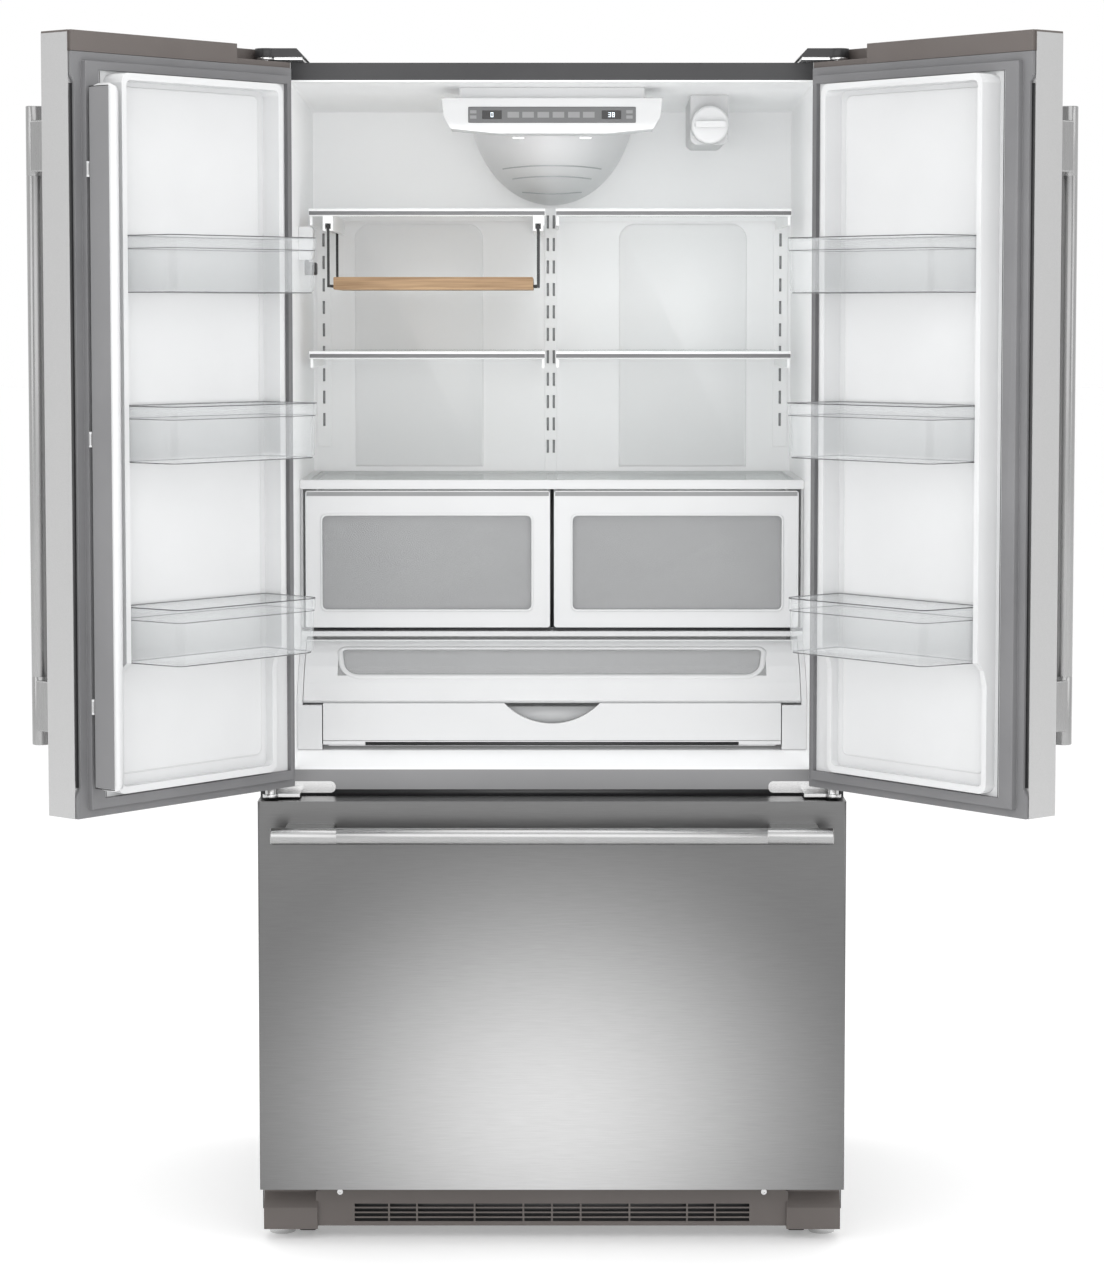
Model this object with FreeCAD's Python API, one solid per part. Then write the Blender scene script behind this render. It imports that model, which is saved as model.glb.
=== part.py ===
"""French door refrigerator with a bottom freezer drawer, 36 inch class, counter depth.

Millimetres.  X runs across, Y from the front (-) to the back (+), Z up from the floor.
The origin is on the floor, under the middle of the case.  The two doors rest open.
Each piece is one STEP file in parts/, named after its node.
"""
import FreeCAD, Part
import math
import os

V = FreeCAD.Vector

# ---------------------------------------------------------------- driving sizes: case
CASE_W = 905.0            # over the painted side panels
CASE_D = 650.0            # case without doors
CASE_TOP = 1823.0         # top panel above the floor
CASE_FOOT = 42.0          # lower edge of the side panels
SHEET = 1.0               # steel sheet
PLASTIC = 2.5             # moulded and thermoformed walls
SIDE_WALL = 50.0          # foamed side wall, panel to liner
RUN_GAP = 0.5             # between pieces that slide past each other

# fresh food compartment
TOP_RAIL_H = 29.0         # steel rail over the fresh food opening
CEILING_DROP = 18.0       # the ceiling falls this much towards the back
FRESH_DEPTH = 462.0       # front plane to back wall
FLOOR_Z = 757.0           # compartment floor
LIP_RUN = 57.0            # depth of the sloping lip in front of the floor
RAIL_TOP = 737.0          # cross rail between the compartments
RAIL_BOTTOM = 640.0
RAIL_DEPTH = 40.0

# freezer compartment and machine compartment
FREEZER_FLOOR = 135.0
FREEZER_DEPTH = 555.0     # above the step
STEP_DEPTH = 385.0        # below the step, in front of the compressor
STEP_Z = 330.0
MACHINE_WALL = 20.0       # insulation over the compressor

# doors
DOOR_BOTTOM = 717.5
DOOR_RISE = 17.0          # the doors stand above the top panel
DOOR_INSET = 1.5          # outer ends of the doors inside the side panels
DOOR_GAP = 4.0            # between the two closed doors
DOOR_T = 63.0             # front skin to the gasket seat
DOOR_EDGE = 58.0          # depth of the steel edge
DOOR_ANGLE = 130.0        # how far the doors stand open at rest
CAP_H = 30.0              # plastic cap on top of the door
CAP_L = 331.0             # cap length, free edge to hinge notch
CAP_PROUD = 3.0           # the cap stands above the steel
FOOT_CAP_H = 22.0
NOTCH_CLEAR = 4.0         # door under the hinge, below the top panel
PIVOT_IN = 18.3           # hinge axis from the door's outer end
PIVOT_BACK = 23.4         # hinge axis from the front face
PIN_R = 5.0
PIN_FIT = 0.05            # radial running clearance of a pin
GASKET_T = 14.5           # gasket thickness over the steel edge
GASKET_STEP = 5.0         # thickness of the plain outer band
GASKET_BAND = 13.0        # width of the plain outer band
GASKET_TOP = 25.0         # gasket widths round the door
GASKET_BOTTOM = 27.0
GASKET_HINGE = 18.0
GASKET_FREE = 46.0
GASKET_END_IN = 5.0       # gasket edge from the door's outer end
EDGE_RECESS = 5.8         # shadow gap beside the gasket on the free edge
EDGE_RECESS_END = 33.0    # the gap closes this far from either end
SEAL_GAP = 0.5            # closed gasket to the case front

# inner door panel
PANEL_N = 6.0             # face of the recessed panel behind the gasket seat
DIKE_N = 40.0             # raised rim that holds the bins
DIKE_LOW_N = 20.0         # rim below the lowest bin
DIKE_FREE = 70.0          # inner face of the rim, free side
DIKE_FROM_HINGE = 73.0    # inner face of the rim, from the door's outer end
DIKE_W = 9.0
DIKE_SHOULDER_Z = 940.0   # the rim steps down below this height
SHOULDER_R = 34.0
BIN_N = 131.0             # front of the door bins
BIN_H = 82.0
BIN_RIMS = (1020.0, 1309.0, 1552.0)

# fold-out mullion on the left door
MULLION_W = 48.5
MULLION_T = 25.6
MULLION_S = 17.9          # from the door's free edge, folded
MULLION_N = 11.2
MULLION_BOTTOM = 758.0
MULLION_UNDER_TOP = 75.0
MULLION_PIVOT_IN = 3.4
MULLION_PIVOT_UP = 2.4
MULLION_PIN_R = 1.8
MULLION_EDGE_R = 1.2      # keeps the corners off the gasket as it folds
MULLION_EAR_R = 3.3
MULLION_EAR_H = 22.0

# bar handles
HANDLE_R = 12.75
HANDLE_OUT = 50.0         # bar axis from the front face
DOOR_BAR_LOW = 813.5
DOOR_BAR_UNDER_TOP = 102.0
DOOR_BAR_IN = 32.6        # bar axis from the free edge
DRAWER_BAR_IN = 24.0      # bar ends from the drawer's ends
DRAWER_BAR_Z = 649.0
POST_L = 74.0
POST_W = 26.0
POST_END = 21.0           # post from the end of the bar
FERRULE_L = 100.0

# freezer drawer
DRAWER_BOTTOM = 91.0
DRAWER_TOP = 695.0
BASKET_SIDE = 42.0        # basket to the freezer wall
BASKET_LOW = 160.0
BASKET_H = 235.0
BASKET_D = 350.0
TRAY_SIDE = 50.0          # upper sliding basket to the freezer wall
TRAY_H = 110.0
TRAY_D = 205.0
SLIDE_H = 44.0
SLIDE_W = 12.0
SLIDE_Z = 300.0

# shelves, ladders and the crisper zone
UPPER_SHELF = 1606.0      # top of the glass
LOWER_SHELF = 1381.0
SHELF_SIDE = 16.0         # shelf to the wall
SHELF_FRONT = -178.0      # front edge, Y
SHELF_T = 12.5
GLASS_T = 4.0
LADDER_TOP = 1620.0
LADDER_LOW = 1166.0
LADDER_W = 20.0
LADDER_T = 4.0
SLOT_PITCH = 37.5
SLOT_H = 22.0
SLOT_W = 4.0
CRISPER_FRONT = -188.0
CRISPER_LOW = 943.0
CRISPER_TOP = 1160.0
CRISPER_SIDE = 9.2        # crisper front to the wall
CRISPER_GAP = 6.6
CRISPER_DEPTH = 300.0
CRISPER_FACE_T = 12.0
COVER_TOP = 1177.0
COVER_H = 14.0
COVER_BACK = 7.0          # crisper cover to the back wall
DIVIDER_TOP = 936.0
DIVIDER_H = 8.0
PANTRY_SIDE = 41.0        # pantry front to the wall
PANTRY_FRONT = -268.0
PANTRY_TOP = 831.0
PANTRY_LOW = 766.0
PANTRY_DEPTH = 352.0
PANTRY_FACE_T = 8.0
GRIP_W = 150.0
GRIP_DROP = 32.0
LID_SIDE = 10.0           # lid to the wall
LID_T = 5.0
LID_HINGE_Y = -172.0
LID_HINGE_Z = 921.0
LID_LOW_Y = -266.0
LID_LOW_Z = 835.0
LID_PIN_R = 2.5

# board hung under the upper left shelf
BOARD_LEFT = -346.0
BOARD_RIGHT = -30.0
BOARD_T = 20.0
BOARD_TOP = 1498.0
BOARD_D = 225.0
HANGER_R = 2.0
HANGER_HEAD = 4.0         # sliding rod that hangs in the channel
HANGER_TOP = 1578.0

# control housing, lamp, filter, dispenser
HOUSING_W = 342.0
HOUSING_DROP = 75.0       # lower edge below the front of the ceiling
HOUSING_H = 54.0
HOUSING_FRONT = -263.0
HOUSING_D = 80.0
LAMP_HALF_W = 138.0
LAMP_DROP = 173.0
LAMP_D = 300.0
FILTER_X = 250.0
FILTER_DROP = 56.0
FILTER_R = 30.0
FILTER_FRONT = -163.0
LEVER_Z = 1511.0
LEVER_Y = -160.0

# feet, rollers and toe grille
FOOT_IN = 28.5            # foot axis from the side panel
FOOT_Y = -300.0
FOOT_R = 20.5
STUD_R = 5.0
ROLLER_R = 22.0
ROLLER_W = 26.0
ROLLER_IN = 68.5          # roller centre from the side panel
REAR_ROLLER_Y = 285.0
LEVEL_GAP = 1.0           # front rollers clear the floor once the feet are down
GRILLE_Y = -352.0
GRILLE_LOW = 22.0
GRILLE_TOP = 85.0
GRILLE_HALF = 309.0
SCREW_X = 330.0           # grille screws from the middle
COVER_W = 87.5            # foot cover, from the side panel inwards

# ---------------------------------------------------------------- worked-out places
FRONT = -CASE_D / 2
BACK = CASE_D / 2
HALF = CASE_W / 2
OPEN_HALF = HALF - SHEET - SIDE_WALL - PLASTIC + 1.0
BACK_WALL = FRONT + FRESH_DEPTH
SEAT = FRONT - SEAL_GAP - GASKET_T + GASKET_STEP
FACE = SEAT - DOOR_T
FRESH_TOP = CASE_TOP - TOP_RAIL_H
DOOR_TOP = CASE_TOP + DOOR_RISE
DOOR_W = (CASE_W - DOOR_GAP) / 2 - DOOR_INSET
NOTCH_FLOOR = CASE_TOP - NOTCH_CLEAR
DIKE_HINGE = DOOR_W - DIKE_FROM_HINGE
MULLION_TOP = DOOR_TOP - MULLION_UNDER_TOP
DOOR_BAR_TOP = DOOR_TOP - DOOR_BAR_UNDER_TOP
DRAWER_W = CASE_W - 2 * DOOR_INSET
DRAWER_BAR_L = DRAWER_W - 2 * DRAWER_BAR_IN
BASKET_W = 2 * (OPEN_HALF - BASKET_SIDE)
TRAY_W = 2 * (OPEN_HALF - TRAY_SIDE)
CRISPER_W = OPEN_HALF - CRISPER_GAP / 2 - CRISPER_SIDE
PANTRY_W = 2 * (OPEN_HALF - PANTRY_SIDE)
LID_W = 2 * (OPEN_HALF - LID_SIDE)
HOUSING_LOW = FRESH_TOP - HOUSING_DROP
HOUSING_TOP = HOUSING_LOW + HOUSING_H
LAMP_LOW = FRESH_TOP - LAMP_DROP
FILTER_Z = FRESH_TOP - FILTER_DROP
FOOT_X = HALF - FOOT_IN
ROLLER_X = HALF - ROLLER_IN
COVER_INNER = HALF - COVER_W
PIVOT_X = DOOR_GAP / 2 + DOOR_W - PIVOT_IN
PIVOT_Y = FACE + PIVOT_BACK

parts = {}


def box(x0, x1, y0, y1, z0, z1):
    """A block between opposite corners."""
    return Part.makeBox(x1 - x0, y1 - y0, z1 - z0, V(x0, y0, z0))


def prism(points, axis, low, high):
    """A flat outline pushed along one axis; the points are the other two coordinates in order."""
    make = {
        "x": lambda a, b: V(low, a, b),
        "y": lambda a, b: V(a, low, b),
        "z": lambda a, b: V(a, b, low),
    }[axis]
    push = {"x": V(high - low, 0, 0), "y": V(0, high - low, 0), "z": V(0, 0, high - low)}[axis]
    ring = [make(a, b) for a, b in points]
    return Part.Face(Part.makePolygon(ring + ring[:1])).extrude(push)


def rod(x, y, z, radius, length, axis):
    """A cylinder from a point along an axis given as a vector."""
    return Part.makeCylinder(radius, length, V(x, y, z), axis)


def rounded(shape, axis, radius, keep=lambda point: True):
    """Round the straight edges that run along one axis."""
    chosen = []
    for edge in shape.Edges:
        if len(edge.Vertexes) != 2:
            continue
        a, b = edge.Vertexes[0].Point, edge.Vertexes[1].Point
        run = b - a
        along = abs({"x": run.x, "y": run.y, "z": run.z}[axis])
        if abs(along - run.Length) < 1e-6 and keep((a + b) * 0.5):
            chosen.append(edge)
    return shape.makeFillet(radius, chosen)


def mirrored(shape):
    """The same piece on the other side of the middle plane."""
    return shape.mirror(V(0, 0, 0), V(1, 0, 0))


def group(shapes):
    """Several separate solids in one node."""
    return Part.makeCompound(shapes)


def both(shape):
    """A piece and its mirror image."""
    return group([shape, mirrored(shape)])


def under_ceiling(shape):
    """Trim a piece so that it stops just below the sloping ceiling."""
    inside = prism(liner_outline(-RUN_GAP), "x", -OPEN_HALF, OPEN_HALF)
    return shape.common(inside)


def tray(x0, x1, y0, y1, z0, z1, wall):
    """An open-topped box."""
    return box(x0, x1, y0, y1, z0, z1).cut(
        box(x0 + wall, x1 - wall, y0 + wall, y1 - wall, z0 + wall, z1 + 1)
    )


# ---------------------------------------------------------------- case
def liner_outline(grow):
    """Side view of the fresh food compartment, grown by the wall thickness."""
    floor_front = FRONT + LIP_RUN
    return [
        (FRONT, FRESH_TOP + grow),
        (BACK_WALL + grow, FRESH_TOP - CEILING_DROP + grow),
        (BACK_WALL + grow, FLOOR_Z - grow),
        (floor_front, FLOOR_Z - grow),
        (FRONT, RAIL_TOP - grow),
    ]


def freezer_outline(grow):
    """Side view of the freezer compartment, with its step over the compressor."""
    roof = RAIL_BOTTOM - PLASTIC
    return [
        (FRONT, roof + grow),
        (FRONT + FREEZER_DEPTH + grow, roof + grow),
        (FRONT + FREEZER_DEPTH + grow, STEP_Z - grow),
        (FRONT + STEP_DEPTH + grow, STEP_Z - grow),
        (FRONT + STEP_DEPTH + grow, FREEZER_FLOOR - grow),
        (FRONT, FREEZER_FLOOR - grow),
    ]


def make_case():
    fresh_hole = prism(liner_outline(PLASTIC), "x", -OPEN_HALF - PLASTIC, OPEN_HALF + PLASTIC)
    frozen_hole = prism(freezer_outline(PLASTIC), "x", -OPEN_HALF - PLASTIC, OPEN_HALF + PLASTIC)
    rail = box(-OPEN_HALF - PLASTIC, OPEN_HALF + PLASTIC, FRONT, FRONT + RAIL_DEPTH,
               RAIL_BOTTOM, RAIL_TOP - PLASTIC)
    base_top = FREEZER_FLOOR - PLASTIC - 30.0
    shell = box(-HALF, HALF, FRONT, BACK, CASE_FOOT, CASE_TOP)
    shell = shell.cut(box(-HALF + SHEET, HALF - SHEET, FRONT + SHEET, BACK + 1,
                          CASE_FOOT - 1, CASE_TOP - SHEET))
    for hole in (fresh_hole, frozen_hole, rail):
        shell = shell.cut(hole)
    shell = shell.cut(box(-HALF + SHEET, HALF - SHEET, FRONT - 1, FRONT + SHEET + 1,
                          CASE_FOOT - 1, base_top))
    parts["cabinet_shell"] = shell
    parts["centre_rail"] = rail.cut(fresh_hole).cut(frozen_hole)

    parts["fresh_food_liner"] = fresh_hole.cut(
        prism(liner_outline(0), "x", -OPEN_HALF, OPEN_HALF))
    frozen = frozen_hole.cut(prism(freezer_outline(0), "x", -OPEN_HALF, OPEN_HALF))
    parts["freezer_liner"] = frozen

    machine_front = FRONT + STEP_DEPTH + PLASTIC + MACHINE_WALL
    machine_top = STEP_Z - PLASTIC - MACHINE_WALL
    foam = box(-HALF + SHEET, HALF - SHEET, FRONT + SHEET, BACK - SHEET,
               base_top + SHEET, CASE_TOP - SHEET)
    foam = foam.cut(fresh_hole).cut(frozen_hole).cut(rail)
    foam = foam.cut(box(-HALF, HALF, machine_front, BACK, 0, machine_top))
    parts["cabinet_foam"] = foam

    upper_back = box(-HALF + SHEET, HALF - SHEET, BACK - SHEET, BACK, machine_top, CASE_TOP - SHEET)
    cover = box(-HALF + SHEET + 1, HALF - SHEET - 1, BACK - SHEET, BACK,
                CASE_FOOT + 40, machine_top - 2)
    vents = []
    for column in (-250.0, -90.0, 250.0):
        for row in range(8):
            z = CASE_FOOT + 62 + row * 18
            vents.append(box(column - 55, column + 55, BACK - 5, BACK + 5, z, z + 6))
    parts["rear_panels"] = group([upper_back, cover.cut(group(vents))])
    return machine_front, machine_top, base_top


def make_base(machine_front, base_top):
    """Steel base with its two side rails, foot brackets and roller forks."""
    deck = box(-HALF + SHEET, HALF - SHEET, FRONT + SHEET, machine_front, base_top - 2, base_top)
    sump = box(-HALF + SHEET, HALF - SHEET, machine_front, BACK - SHEET, base_top - 22,
               base_top - 20)
    step = box(-HALF + SHEET, HALF - SHEET, machine_front - 2, machine_front,
               base_top - 22, base_top - 2)
    base = deck.fuse(sump).fuse(step)
    for side in (-1, 1):
        wall = side * (HALF - SHEET)
        inner = wall - side * 2
        rail = box(min(wall, inner), max(wall, inner), FRONT + SHEET, BACK - SHEET,
                   CASE_FOOT, base_top - 22)
        base = base.fuse(rail)
        base = base.fuse(box(min(wall, inner), max(wall, inner), FRONT + SHEET, machine_front,
                             base_top - 22, base_top - 2))
        for y in (FOOT_Y, REAR_ROLLER_Y):
            drop = base_top - 2 if y < 0 else base_top - 22
            for edge in (-1, 1):
                x = side * ROLLER_X + edge * (ROLLER_W / 2 + 3)
                fork = box(x - 1, x + 1, y - 14, y + 14, ROLLER_R + 6, drop)
                base = base.fuse(fork)
        boss = rod(side * FOOT_X, FOOT_Y, base_top - 42, STUD_R + 6, 40, V(0, 0, 1))
        base = base.fuse(boss)
    for side in (-1, 1):
        base = base.cut(rod(side * FOOT_X, FOOT_Y, base_top - 60, STUD_R + PIN_FIT, 59,
                            V(0, 0, 1)))
    for side in (-1, 1):
        for y, z in ((FOOT_Y, ROLLER_R + LEVEL_GAP), (REAR_ROLLER_Y, ROLLER_R)):
            base = base.cut(rod(side * ROLLER_X - 40, y, z, 4 + PIN_FIT, 80, V(1, 0, 0)))
            for edge in (-1, 1):
                x = side * ROLLER_X + edge * (ROLLER_W / 2 + 3)
                ear = rod(x - 1, y, z, 12, 2, V(1, 0, 0)).cut(
                    rod(x - 1, y, z, 4 + PIN_FIT, 2, V(1, 0, 0)))
                base = base.fuse(ear)
    parts["base_frame"] = base


def make_feet(base_top):
    for name, side in (("left_levelling_foot", -1), ("right_levelling_foot", 1)):
        disc = rod(side * FOOT_X, FOOT_Y, 0, FOOT_R, 9, V(0, 0, 1))
        disc = disc.makeFillet(2, [e for e in disc.Edges if abs(e.BoundBox.ZMin - 9) < 1e-6
                                   and abs(e.BoundBox.ZMax - 9) < 1e-6])
        nut = Part.Face(Part.makePolygon([
            V(side * FOOT_X + 8.5 * math.cos(math.radians(60 * k)),
              FOOT_Y + 8.5 * math.sin(math.radians(60 * k)), 9) for k in range(7)]))
        stud = rod(side * FOOT_X, FOOT_Y, 9, STUD_R, base_top - 24, V(0, 0, 1))
        parts[name] = disc.fuse(nut.extrude(V(0, 0, 6))).fuse(stud)
    for name, y, z in (("front_rollers", FOOT_Y, ROLLER_R + LEVEL_GAP),
                       ("rear_rollers", REAR_ROLLER_Y, ROLLER_R)):
        wheels = []
        for side in (-1, 1):
            wheel = rod(side * ROLLER_X - ROLLER_W / 2, y, z, ROLLER_R, ROLLER_W, V(1, 0, 0))
            wheel = wheel.makeFillet(3, [e for e in wheel.Edges if e.Curve.TypeId ==
                                         "Part::GeomCircle"])
            axle = rod(side * ROLLER_X - ROLLER_W / 2 - 7, y, z, 4, ROLLER_W + 14, V(1, 0, 0))
            wheels.append(wheel.fuse(axle))
        parts[name] = group(wheels)


def make_grille():
    """Kick plate with four rows of slots and the two foot covers."""
    plate = box(-COVER_INNER, COVER_INNER, GRILLE_Y, GRILLE_Y + 3, GRILLE_LOW, GRILLE_TOP)
    dividers = (0.0, 44.6, 120.7, 210.4, 254.0, GRILLE_HALF)
    slots = []
    for row in range(4):
        z = 29 + row * 7.6
        for first, last in zip(dividers[:-1], dividers[1:]):
            for side in (-1, 1):
                a = side * (first + 1.5)
                b = side * (last - 1.5)
                slots.append(box(min(a, b), max(a, b), GRILLE_Y - 1, GRILLE_Y + 4, z, z + 5))
    plate = plate.cut(group(slots))
    for side in (-1, 1):
        plate = plate.cut(rod(side * SCREW_X, GRILLE_Y - 1, 76, 3, 6, V(0, 1, 0)))
    outline = [(GRILLE_Y - 6, 18), (GRILLE_Y - 6, 52), (GRILLE_Y + 8, 74), (GRILLE_Y + 8, 85),
               (FRONT - 2, 85), (FRONT - 2, 18)]
    cover = prism(outline, "x", COVER_INNER, HALF - 4)
    hollow = prism([(GRILLE_Y - 3, 10), (GRILLE_Y - 3, 51), (GRILLE_Y + 10, 72),
                    (GRILLE_Y + 10, 82), (FRONT + 3, 82), (FRONT + 3, 10)], "x",
                   COVER_INNER + 3, HALF - 7)
    cover = cover.cut(hollow)
    bridge = box(-COVER_INNER - 3, COVER_INNER + 3, GRILLE_Y, GRILLE_Y + 3, 60, GRILLE_TOP - 8)
    sides = cover.fuse(mirrored(cover)).fuse(plate)
    parts["toe_grille"] = sides.fuse(bridge.cut(box(-COVER_INNER + 60, COVER_INNER - 60,
                                                    GRILLE_Y - 1, GRILLE_Y + 4, 0, 100)))


# ---------------------------------------------------------------- doors
def door_x(s):
    """X of a point s in from the free edge of the closed right door."""
    return DOOR_GAP / 2 + s


def door_block(s0, s1, n0, n1, z0, z1):
    """A block in the closed right door: s from the free edge, n behind the gasket seat."""
    return box(door_x(s0), door_x(s1), SEAT + n0, SEAT + n1, z0, z1)


def swung(shape):
    """Turn a piece of the closed right door to where it rests."""
    out = shape.copy()
    out.rotate(V(PIVOT_X, PIVOT_Y, 0), V(0, 0, 1), DOOR_ANGLE)
    return out


def place_door_piece(name, shape):
    """Store the right piece and its mirror image."""
    right = swung(shape)
    parts["right_" + name] = right
    parts["left_" + name] = mirrored(right)


def make_door_skin():
    edge_n = DOOR_EDGE - DOOR_T
    steel_top = DOOR_TOP - CAP_PROUD
    seat_top = DOOR_TOP - CAP_H
    skin = door_block(0, DOOR_W, -DOOR_T, edge_n, DOOR_BOTTOM, steel_top)
    skin = rounded(skin, "z", 3.0, lambda p: p.y < FACE + 1)
    skin = skin.cut(door_block(SHEET, DOOR_W - SHEET, -DOOR_T + SHEET, edge_n - SHEET,
                               DOOR_BOTTOM - 1, DOOR_TOP + 1))
    skin = skin.cut(door_block(GASKET_FREE, DOOR_W - GASKET_HINGE - GASKET_END_IN,
                               edge_n - SHEET - 1, edge_n + 1,
                               DOOR_BOTTOM + GASKET_BOTTOM, seat_top - GASKET_TOP))
    skin = skin.cut(door_block(-1, DOOR_W + 1, edge_n - SHEET - 0.001, edge_n + 1,
                               seat_top, DOOR_TOP + 1))
    notch = door_block(CAP_L, DOOR_W + 1, -DOOR_T + SHEET, edge_n + 1, NOTCH_FLOOR, DOOR_TOP + 1)
    place_door_piece("door_skin", skin.cut(notch))


def make_door_caps():
    seat_top = DOOR_TOP - CAP_H
    edge_n = DOOR_EDGE - DOOR_T
    inside = SHEET
    cap = door_block(inside, DOOR_W - inside, -DOOR_T + SHEET, edge_n - SHEET, seat_top, DOOR_TOP)
    lip = door_block(inside + 2, CAP_L, edge_n - SHEET, -1, seat_top + 0.5, DOOR_TOP)
    cap = cap.fuse(lip)
    cap = cap.cut(door_block(CAP_L, DOOR_W, -DOOR_T + 2 * SHEET + 1.5, 10,
                             NOTCH_FLOOR, DOOR_TOP + 1))
    cap = cap.cut(door_block(inside + 3, CAP_L - 3, -DOOR_T + SHEET + 3, edge_n - SHEET - 3,
                             seat_top - 1, DOOR_TOP - 3))
    foot = door_block(inside, DOOR_W - inside, -DOOR_T + SHEET, edge_n - SHEET,
                      DOOR_BOTTOM, DOOR_BOTTOM + FOOT_CAP_H)
    foot = foot.cut(door_block(inside + 3, DOOR_W - 60, -DOOR_T + SHEET + 3,
                               edge_n - SHEET - 3, DOOR_BOTTOM + 3, DOOR_BOTTOM + 60))
    bore = rod(PIVOT_X, PIVOT_Y, DOOR_BOTTOM - 5, PIN_R + PIN_FIT, DOOR_TOP - DOOR_BOTTOM + 10,
               V(0, 0, 1))
    place_door_piece("door_caps", group([cap.cut(bore), foot.cut(bore)]))


def make_door_gasket():
    seat_top = DOOR_TOP - CAP_H
    n0 = DOOR_EDGE - DOOR_T
    n1 = n0 + GASKET_T
    outer_free = 1.5
    ring = door_block(outer_free, DOOR_W - GASKET_END_IN, n0, n1, DOOR_BOTTOM, seat_top)
    ring = ring.cut(door_block(GASKET_FREE, DOOR_W - GASKET_HINGE - GASKET_END_IN, n0 - 1, n1 + 1,
                               DOOR_BOTTOM + GASKET_BOTTOM, seat_top - GASKET_TOP))
    first = DOOR_BOTTOM + EDGE_RECESS_END
    last = seat_top - EDGE_RECESS_END
    lean = EDGE_RECESS + 4
    recess = [(door_x(-1), first), (door_x(outer_free), first),
              (door_x(outer_free + EDGE_RECESS), first + lean),
              (door_x(outer_free + EDGE_RECESS), last - lean),
              (door_x(outer_free), last), (door_x(-1), last)]
    ring = ring.cut(prism(recess, "y", SEAT + n0 - 1, SEAT + n1 + 1))
    plain = door_block(-1, DOOR_W, 0, n1 + 1, DOOR_BOTTOM - 1, seat_top + 1)
    plain = plain.cut(door_block(outer_free + EDGE_RECESS + GASKET_BAND,
                                 DOOR_W - GASKET_END_IN - GASKET_BAND, -1, n1 + 2,
                                 DOOR_BOTTOM + GASKET_BAND, seat_top - GASKET_BAND))
    place_door_piece("door_gasket", ring.cut(plain))


def make_door_liner():
    """Inner panel with the raised rim that carries the bins."""
    seat_top = DOOR_TOP - CAP_H
    n0 = DOOR_EDGE - DOOR_T
    z0 = DOOR_BOTTOM + GASKET_BOTTOM
    z1 = seat_top - GASKET_TOP
    s1 = DOOR_W - GASKET_HINGE - GASKET_END_IN
    panel = door_block(GASKET_FREE, s1, n0 - SHEET, 2, z0, z1)
    field = door_block(DIKE_FREE - 2, DIKE_HINGE + 2, 0, PANEL_N, z0 + 10, z1 - 10)
    outer = door_block(DIKE_FREE - DIKE_W, DIKE_HINGE + DIKE_W, 0, DIKE_N, z0 + 4, z1 - 4)
    inner = door_block(DIKE_FREE, DIKE_HINGE, -1, DIKE_N + 1, z0 + 14, z1 - 14)
    rim = rounded(outer, "y", 14).cut(rounded(inner, "y", 8))
    low_y = SEAT + DIKE_LOW_N
    high_y = SEAT + DIKE_N
    shoulder = DIKE_SHOULDER_Z
    profile = [(low_y, z0 - 5), (low_y, shoulder - SHOULDER_R), (low_y + 6, shoulder - 12),
               (high_y, shoulder), (high_y + 5, shoulder), (high_y + 5, z0 - 5)]
    rim = rim.cut(prism(profile, "x", door_x(0), door_x(DOOR_W)))
    return panel.fuse(field).fuse(rim)


def mullion_sites():
    """Heights of the three mullion hinges."""
    span = MULLION_TOP - MULLION_BOTTOM
    return [MULLION_BOTTOM + span * k for k in (0.12, 0.5, 0.88)]


def mullion_axis():
    """Hinge axis of the mullion in the closed right door's frame."""
    return (door_x(MULLION_S + MULLION_PIVOT_IN), SEAT + MULLION_N + MULLION_PIVOT_UP)


def make_mullion(liner):
    """The folding mullion, and the hinge ears that hold it to the left door's liner."""
    axis_x, axis_y = mullion_axis()
    bar = door_block(MULLION_S, MULLION_S + MULLION_T, MULLION_N, MULLION_N + MULLION_W,
                     MULLION_BOTTOM, MULLION_TOP)
    bar = rounded(bar, "z", MULLION_EDGE_R)
    ears = []
    reach = MULLION_EAR_R + 1.5
    for z in mullion_sites():
        low = z - MULLION_EAR_H / 2
        pocket = box(axis_x - reach - 2, axis_x + reach + 2, axis_y - reach - 2,
                     axis_y + reach + 2, low - 1, low + MULLION_EAR_H + 1)
        slot = box(axis_x, door_x(MULLION_S + MULLION_T + 1), SEAT + MULLION_N - 1,
                   axis_y + reach, low - 1, low + MULLION_EAR_H + 1)
        bar = bar.cut(pocket).cut(slot)
        bar = bar.fuse(rod(axis_x, axis_y, low - 3, MULLION_PIN_R, MULLION_EAR_H + 6, V(0, 0, 1)))
        ear = rod(axis_x, axis_y, low, MULLION_EAR_R, MULLION_EAR_H, V(0, 0, 1))
        arm = box(axis_x, door_x(GASKET_FREE + 8), axis_y - 3, axis_y, low,
                  low + MULLION_EAR_H)
        foot = box(door_x(GASKET_FREE + 1), door_x(GASKET_FREE + 8), SEAT + 1, axis_y, low,
                   low + MULLION_EAR_H)
        bore = rod(axis_x, axis_y, low - 1, MULLION_PIN_R + PIN_FIT, MULLION_EAR_H + 2,
                   V(0, 0, 1))
        ears.append(ear.fuse(arm).fuse(foot).cut(bore))
    parts["mullion_flap"] = mirrored(swung(bar))
    left = liner
    for ear in ears:
        left = left.fuse(ear)
    parts["left_door_liner"] = mirrored(swung(left))
    parts["right_door_liner"] = swung(liner)


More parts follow.
